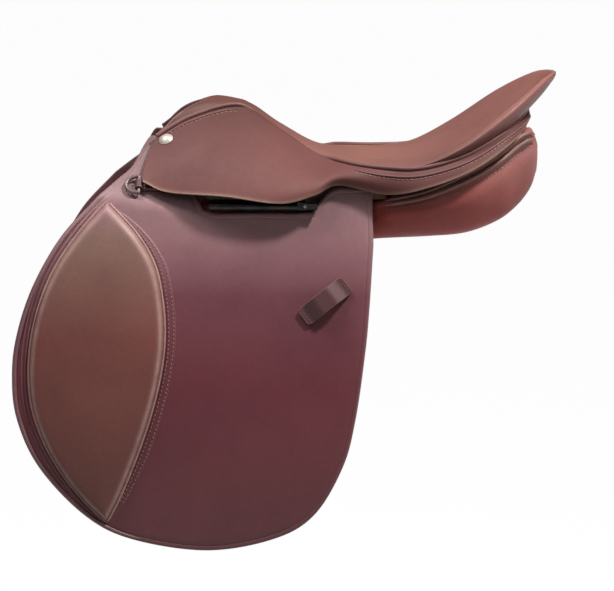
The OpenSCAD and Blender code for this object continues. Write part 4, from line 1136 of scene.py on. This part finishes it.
BILLET_FORE = -0.135*SEAT_L
billet_x = [BILLET_FORE + i*BILLET_PITCH for i in range(3)]
BILLET_Z = 0.045*RISE
GUARD_PAST = 0.9*BILLET_W
CORNER = 18.0
guard_fore, guard_rear = billet_x[0] - GUARD_PAST, billet_x[2] + GUARD_PAST
guard_top, guard_low = BILLET_Z + BILLET_W/2, -0.42*RISE
corner = [CORNER*vec(math.cos(a), -math.sin(a)) for a in np.linspace(0, math.pi/2, 9)]
guard_line = [vec(guard_fore, guard_top), vec(guard_rear, guard_top)]
guard_line += [vec(guard_rear - CORNER, guard_low + CORNER) + c for c in corner]
guard_line += [vec(guard_fore + CORNER, guard_low + CORNER) + c*[-1, 1] for c in reversed(corner)]
guard = sheet(even(guard_line, 4.0, True), behind(GUARD_IN), GUARD_T, [0.5, 1.2],
    edged(drop=0.5, over=1.2), pitch=6.0, bulge=0.3, wear_and_highlight_in=0.2)
both("buckle_guard_leather", guard, "strap_leather", "saddle", ["buckle_guard"])

TIP_L = 0.7*BILLET_W
TIP_Z = BILLET_Z - BILLET_L
HOLE_COUNT = 7
for place, x in zip(("front", "mid", "rear"), billet_x):
    half = [(BILLET_Z + math.cos(a)*BILLET_W/2, math.sin(a)*BILLET_W/2)
        for a in np.radians(np.linspace(4, 90, 14))]
    half += [(z, BILLET_W/2) for z in np.linspace(BILLET_Z, TIP_Z + TIP_L, 40)[1:]]
    half += [(TIP_Z + TIP_L/3, BILLET_W/3), (TIP_Z, BILLET_W/12)]
    line = [vec(x + w, z) for z, w in half] + [vec(x - w, z) for z, w in reversed(half)]
    holes = [(vec(x, TIP_Z + TIP_L + i*HOLE_PITCH), HOLE_R) for i in range(HOLE_COUNT)]
    strap = sheet(even(line, 2.5, True), behind(BILLET_IN), BILLET_T, [0.5, 1.2, 2.6, 3.2],
        edged(drop=0.7, over=1.2, crease=0.3, at=3.0, wide=0.4), pitch=5.0, bulge=0.4, holes=holes,
        wear_and_highlight_in=0.2)
    both(f"{place}_billet_leather", strap, "strap_leather", f"{place}_billet_strap", [f"{place}_billet"])

# Panels: full wool-stuffed cushions, with piped facings below the skirt at the rear
# Place, inner and outer side, inner and outer top, bottom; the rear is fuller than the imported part's
PANEL = np.array([[-0.43, 0.4, 0.6, 0.1, 0.1, 0], [-0.415, 0.34, 0.68, 0.18, 0.18, -0.12],
    [-0.36, 0.3, 0.71, 0.2, 0.2, -0.19], [-0.28, 0.29, 0.72, 0.23, 0.21, -0.2],
    [-0.16, 0.28, 0.712, 0.25, 0.215, -0.17], [-0.04, 0.28, 0.712, 0.25, 0.215, -0.13],
    [0.08, 0.29, 0.715, 0.245, 0.212, -0.08], [0.15, 0.3, 0.74, 0.24, 0.212, -0.05],
    [0.21, 0.31, 0.85, 0.235, 0.245, -0.03], [0.29, 0.32, 0.955, 0.255, 0.305, -0.012],
    [0.385, 0.33, 0.965, 0.33, 0.42, 0.012], [0.465, 0.34, 0.86, 0.45, 0.54, 0.082],
    [0.516, 0.28, 0.73, 0.57, 0.63, 0.168], [0.55, 0.2, 0.64, 0.64, 0.65, 0.27],
    [0.565, 0.27, 0.56, 0.6, 0.57, 0.38]])*vec(SEAT_L, HALF_W, HALF_W, RISE, RISE, RISE)
PANEL_SIDES = 56


def panel_section(s):
    """Points round the panel at share s of its length: top, outer side, bottom and inner side."""
    x, a, b, ta, tb, low = curve_at(PANEL, s)
    w, h = b - a, tb - low
    return np.array([[x, -a - 0.06*w, ta], [x, -b + 0.12*w, tb], [x, -b + 0.015*w, tb - 0.2*h],
        [x, -b, tb - 0.5*h], [x, -b + 0.2*w, low + 0.08*h], [x, -(a + b)/2, low],
        [x, -a - 0.1*w, low + 0.1*h], [x, -a, lerp(low, ta, 0.5)]])


panel = Mesh()
panel_rings = []
for s in np.linspace(0, 1, 113):
    section = panel_section(s)
    panel_rings.append(panel.add([loop_at(section, j/PANEL_SIDES) for j in range(PANEL_SIDES)]))
panel.tube(panel_rings)
for obj in both("panel_cushion", panel, "panel_leather", "saddle", ["panel"]):
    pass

# Facings: shares of the panel's length, and places in points round its section
FACING_FROM = 0.545
FACING_TO = 0.945
FACING_ROWS = (("upper", 1.25), ("lower", 1.75))
FACING_SEWN = 2.15
FACING_R = 2.1
facing_out = unit(vec(0, -0.9, 0.35))


def facing_path(at, lift):
    line = []
    for s in np.linspace(FACING_FROM, FACING_TO, 90):
        section = panel_section(s)
        line.append(loop_at(section, at/len(section)) + lift*facing_out)
    return line


for place, at in FACING_ROWS:
    # Pipings half in the pale tone, a painted highlight
    piping = bead(facing_path(at, FACING_R + 3*LAY_GAP), FACING_R, sides=12, wear_and_highlight=0.5, taper=12.0)
    both(f"{place}_facing_bead", piping, "welt_leather", "saddle", [f"{place}_facing_welt"])
facing_sewn = stitches(facing_path(FACING_SEWN, lift=0.4), facing_out, pitch=5.0, length=3.2, r=0.4)
both("facing_stitches", facing_sewn, "panel_leather", "saddle", (), THREAD)

# Webs of the seat and the girth, stretched over the tree
WEB_D = FOAM_D + FOAM_T + 4*LAY_GAP
WEB_MID = 0.17*HALF_W
WEB_FORE = 1
WEB_REAR = 7.5
RAIL_Y = FLAP_Y - PANEL_IN + SWEAT_T + LAY_GAP
RAIL_Z = 0.230*RISE
WEB_Y = RAIL_Y + LAY_GAP
WEB_LOW = BILLET_Z + BILLET_W/2 + LAY_GAP
WEB_SIDE = RAIL_Z + RAIL_H + LAY_GAP
WEB_TOP = RAIL_Z + RAIL_H + RAIL_LIFT + LAY_GAP


def top_at(k, y, d):
    """Point on rib k at a distance y from the middle plane, on the seat or past its seam on the skirt."""
    r, w = -column(RIM, k)[1], -column(WELT, k)[1]
    if y < r:
        return seat_point(k, RIM_SHARE*y/r, d)
    if y < w:
        return seat_point(k, lerp(RIM_SHARE, 1, (y - r)/(w - r)), d)
    return skirt_point(k, (y - w)/(-4*column(SIDE, k)[1] - 3*w + column(EDGE, k)[1]), d)


def web_row(k, d):
    return [top_at(k, y, d) for y in np.linspace(WEB_MID - WEB_W/2, WEB_MID + WEB_W/2, 9)]


def web_run(t):
    """Line of a girth web's face from side to side, t out from its lower face."""
    half = [(0.0, WEB_TOP + t), (RAIL_Y - RAIL_W, WEB_TOP + t), (WEB_Y + t, WEB_SIDE + t),
        (WEB_Y + t, WEB_LOW)]
    line = [vec(-y, z) for y, z in reversed(half)] + [vec(y, z) for y, z in half[1:]]
    fine = []
    for a, b in zip(line, line[1:]):
        fine += [lerp(a, b, s) for s in np.linspace(0, 1, 12)[:-1]]
    return fine + [line[-1]]


seat_web = layer(web_row, np.linspace(WEB_FORE, WEB_REAR, 40), WEB_D, WEB_D + WEB_T, bulge=0.2)
both("seat_web_band", seat_web, "webbing", "saddle", ["seat_web"])
for place, low, high in (("front", billet_x[0], billet_x[0]), ("rear", billet_x[1], billet_x[2])):
    xs = np.linspace(low - BILLET_W/2, high + BILLET_W/2, 12)
    faces = [[[vec(x, *p) for x in xs] for p in web_run(t)] for t in (WEB_T, 0)]
    make(f"{place}_girth_web_band", shell(*faces, bulge=0.2), "webbing", "saddle", [f"{place}_girth_web"])

# Chapes: a strap folded round the straight side of each dee
dee_x, dee_z = -0.4165*SEAT_L, 0.325*RISE
DEE_SPAN = 0.3*DEE_H
CHAPE_W = DEE_H - 7*DEE_WIRE_R
CHAPE_R = DEE_WIRE_R + RUN_GAP + CHAPE_T
DEE_LIFT = CHAPE_R + 2*LAY_GAP
dee_lean = math.atan((head_y(dee_x, dee_z + DEE_SPAN) - head_y(dee_x, dee_z - DEE_SPAN))/(2*DEE_SPAN))
dee_o = vec(dee_x, head_y(dee_x, dee_z) - DEE_LIFT/math.cos(dee_lean), dee_z)
dee_up = vec(0, math.sin(dee_lean), math.cos(dee_lean))
dee_out = vec(0, -math.cos(dee_lean), math.sin(dee_lean))
# Turn of the fold round the dee, and the share of its length where its flat end stops
FOLD_FROM = 0.2
FOLD_TO = 2*math.pi - 1.2
FOLD_SHARE = 0.25


def chape_line(r):
    """Fold of the chape at a distance from the middle of the dee's straight side."""
    low = -CHAPE_R + (2*CHAPE_T if r == CHAPE_R else CHAPE_T)
    line = [(CHAPE_L*s, low) for s in np.linspace(1, FOLD_SHARE, 10)]
    return line + [(r*math.cos(a), r*math.sin(a)) for a in np.linspace(FOLD_FROM, FOLD_TO, 30)]


def chape_grid(line):
    """Points across the chape along a line of places beside the dee and off the flap."""
    return [[dee_o + vec(u, 0, 0) + dee_up*v + dee_out*h
        for v in np.linspace(-CHAPE_W/2, CHAPE_W/2, 9)] for u, h in line]


fold = shell(*[chape_grid(chape_line(r)) for r in (CHAPE_R, DEE_WIRE_R + RUN_GAP)], bulge=0.3)
tab_us = np.linspace(0, CHAPE_L, 12)
tab_faces = [chape_grid([(u, h) for u in tab_us]) for h in (-CHAPE_R + CHAPE_T, -CHAPE_R)]
both("dee_chape_strap", join(fold, shell(*tab_faces, bulge=0.3)), "strap_leather", "saddle", ["dee_chape"])

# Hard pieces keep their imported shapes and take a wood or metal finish
def left_right(name):
    return f"left_{name}", f"right_{name}"


FINISHES = {"tree_wood": ("tree_head", "tree_cantle", *left_right("rail")),
    "plate_steel": ("gullet_plate", *left_right("bar_rivets"), *left_right("catch_pin")),
    "bar_steel": (*left_right("stirrup_bar"), *left_right("catch")),
    "dee_nickel": left_right("dee"), "nail_nickel": left_right("nail")}
for slot_name, names in FINISHES.items():
    for name in names:
        data = nodes[name].data
        data.materials.clear()
        data.materials.append(MATERIALS[slot_name])

# Pale floor, near white to the camera, well below the hanging saddle
FLOOR_Z = -3.0
FLOOR_WIDE = 160.0
FLOOR_GLOW = 0.93
floor_data = bpy.data.meshes.new("floor")
corners = [(x*FLOOR_WIDE, y*FLOOR_WIDE, FLOOR_Z) for x, y in ((-1, -1), (1, -1), (1, 1), (-1, 1))]
floor_data.from_pydata(corners, [], [(0, 1, 2, 3)])
floor = put("floor", floor_data)
pale = Maker("pale floor")
path = pale.add("LightPath")
seen = pale.math("MAXIMUM", path.outputs["Is Camera Ray"], path.outputs["Is Glossy Ray"])
seen = pale.math("MAXIMUM", seen, path.outputs["Is Transmission Ray"])
pale.set(Base_Color=(0.8, 0.8, 0.8, 1), Roughness=0.9, Specular_IOR_Level=0.1,
    Emission_Color=(1, 1, 1, 1), Emission_Strength=pale.math("MULTIPLY", seen, FLOOR_GLOW))
floor_data.materials.append(pale.material)

# White sky for the camera, which lights the saddle only a little
SKY_LIGHT = 0.06
world = bpy.data.worlds.new("studio")
scene.world = world
world.use_nodes = True
tree = world.node_tree
sky = tree.nodes["Background"]
sky.inputs["Color"].default_value = (1, 1, 1, 1)
sky_path = tree.nodes.new("ShaderNodeLightPath")
sky_level = tree.nodes.new("ShaderNodeMapRange")
sky_level.inputs["To Min"].default_value = SKY_LIGHT
sky_level.inputs["To Max"].default_value = 1.0
tree.links.new(sky_path.outputs["Is Camera Ray"], sky_level.inputs["Value"])
tree.links.new(sky_level.outputs["Result"], sky.inputs["Strength"])


def lamp(name, place, aim, power, size):
    data = bpy.data.lights.new(name, "AREA")
    data.energy = power
    data.size = size
    obj = put(name, data)
    obj.location = place
    obj.rotation_euler = (Vector(aim) - Vector(place)).to_track_quat("-Z", "Y").to_euler()


middle = (0.0, 0.0, -0.05)
lamp("key", (1.04, -0.62, 2.07), middle, power=52.0, size=0.25)
lamp("top", (-0.9, -0.4, 2.0), middle, power=28.0, size=0.7)
lamp("side", (2.2, -0.8, 0.4), middle, power=8.0, size=0.7)
lamp("fill", (-0.6, -1.9, 1.5), middle, power=3.8, size=1.2)

# Camera as in the photograph: facing the near side from a little above the seat
DISTANCE = 2.4
ELEVATION = math.radians(10.3)
aim = Vector((-0.002, 0.0, -0.083))
camera_data = bpy.data.cameras.new("camera")
camera_data.sensor_width = 36.0
camera_data.lens = 126.8
camera = put("camera", camera_data)
camera.location = aim + Vector((0, -DISTANCE*math.cos(ELEVATION), DISTANCE*math.sin(ELEVATION)))
camera.rotation_euler = (math.pi/2 - ELEVATION, 0, 0)
scene.camera = camera
scene.view_settings.view_transform = "Standard"
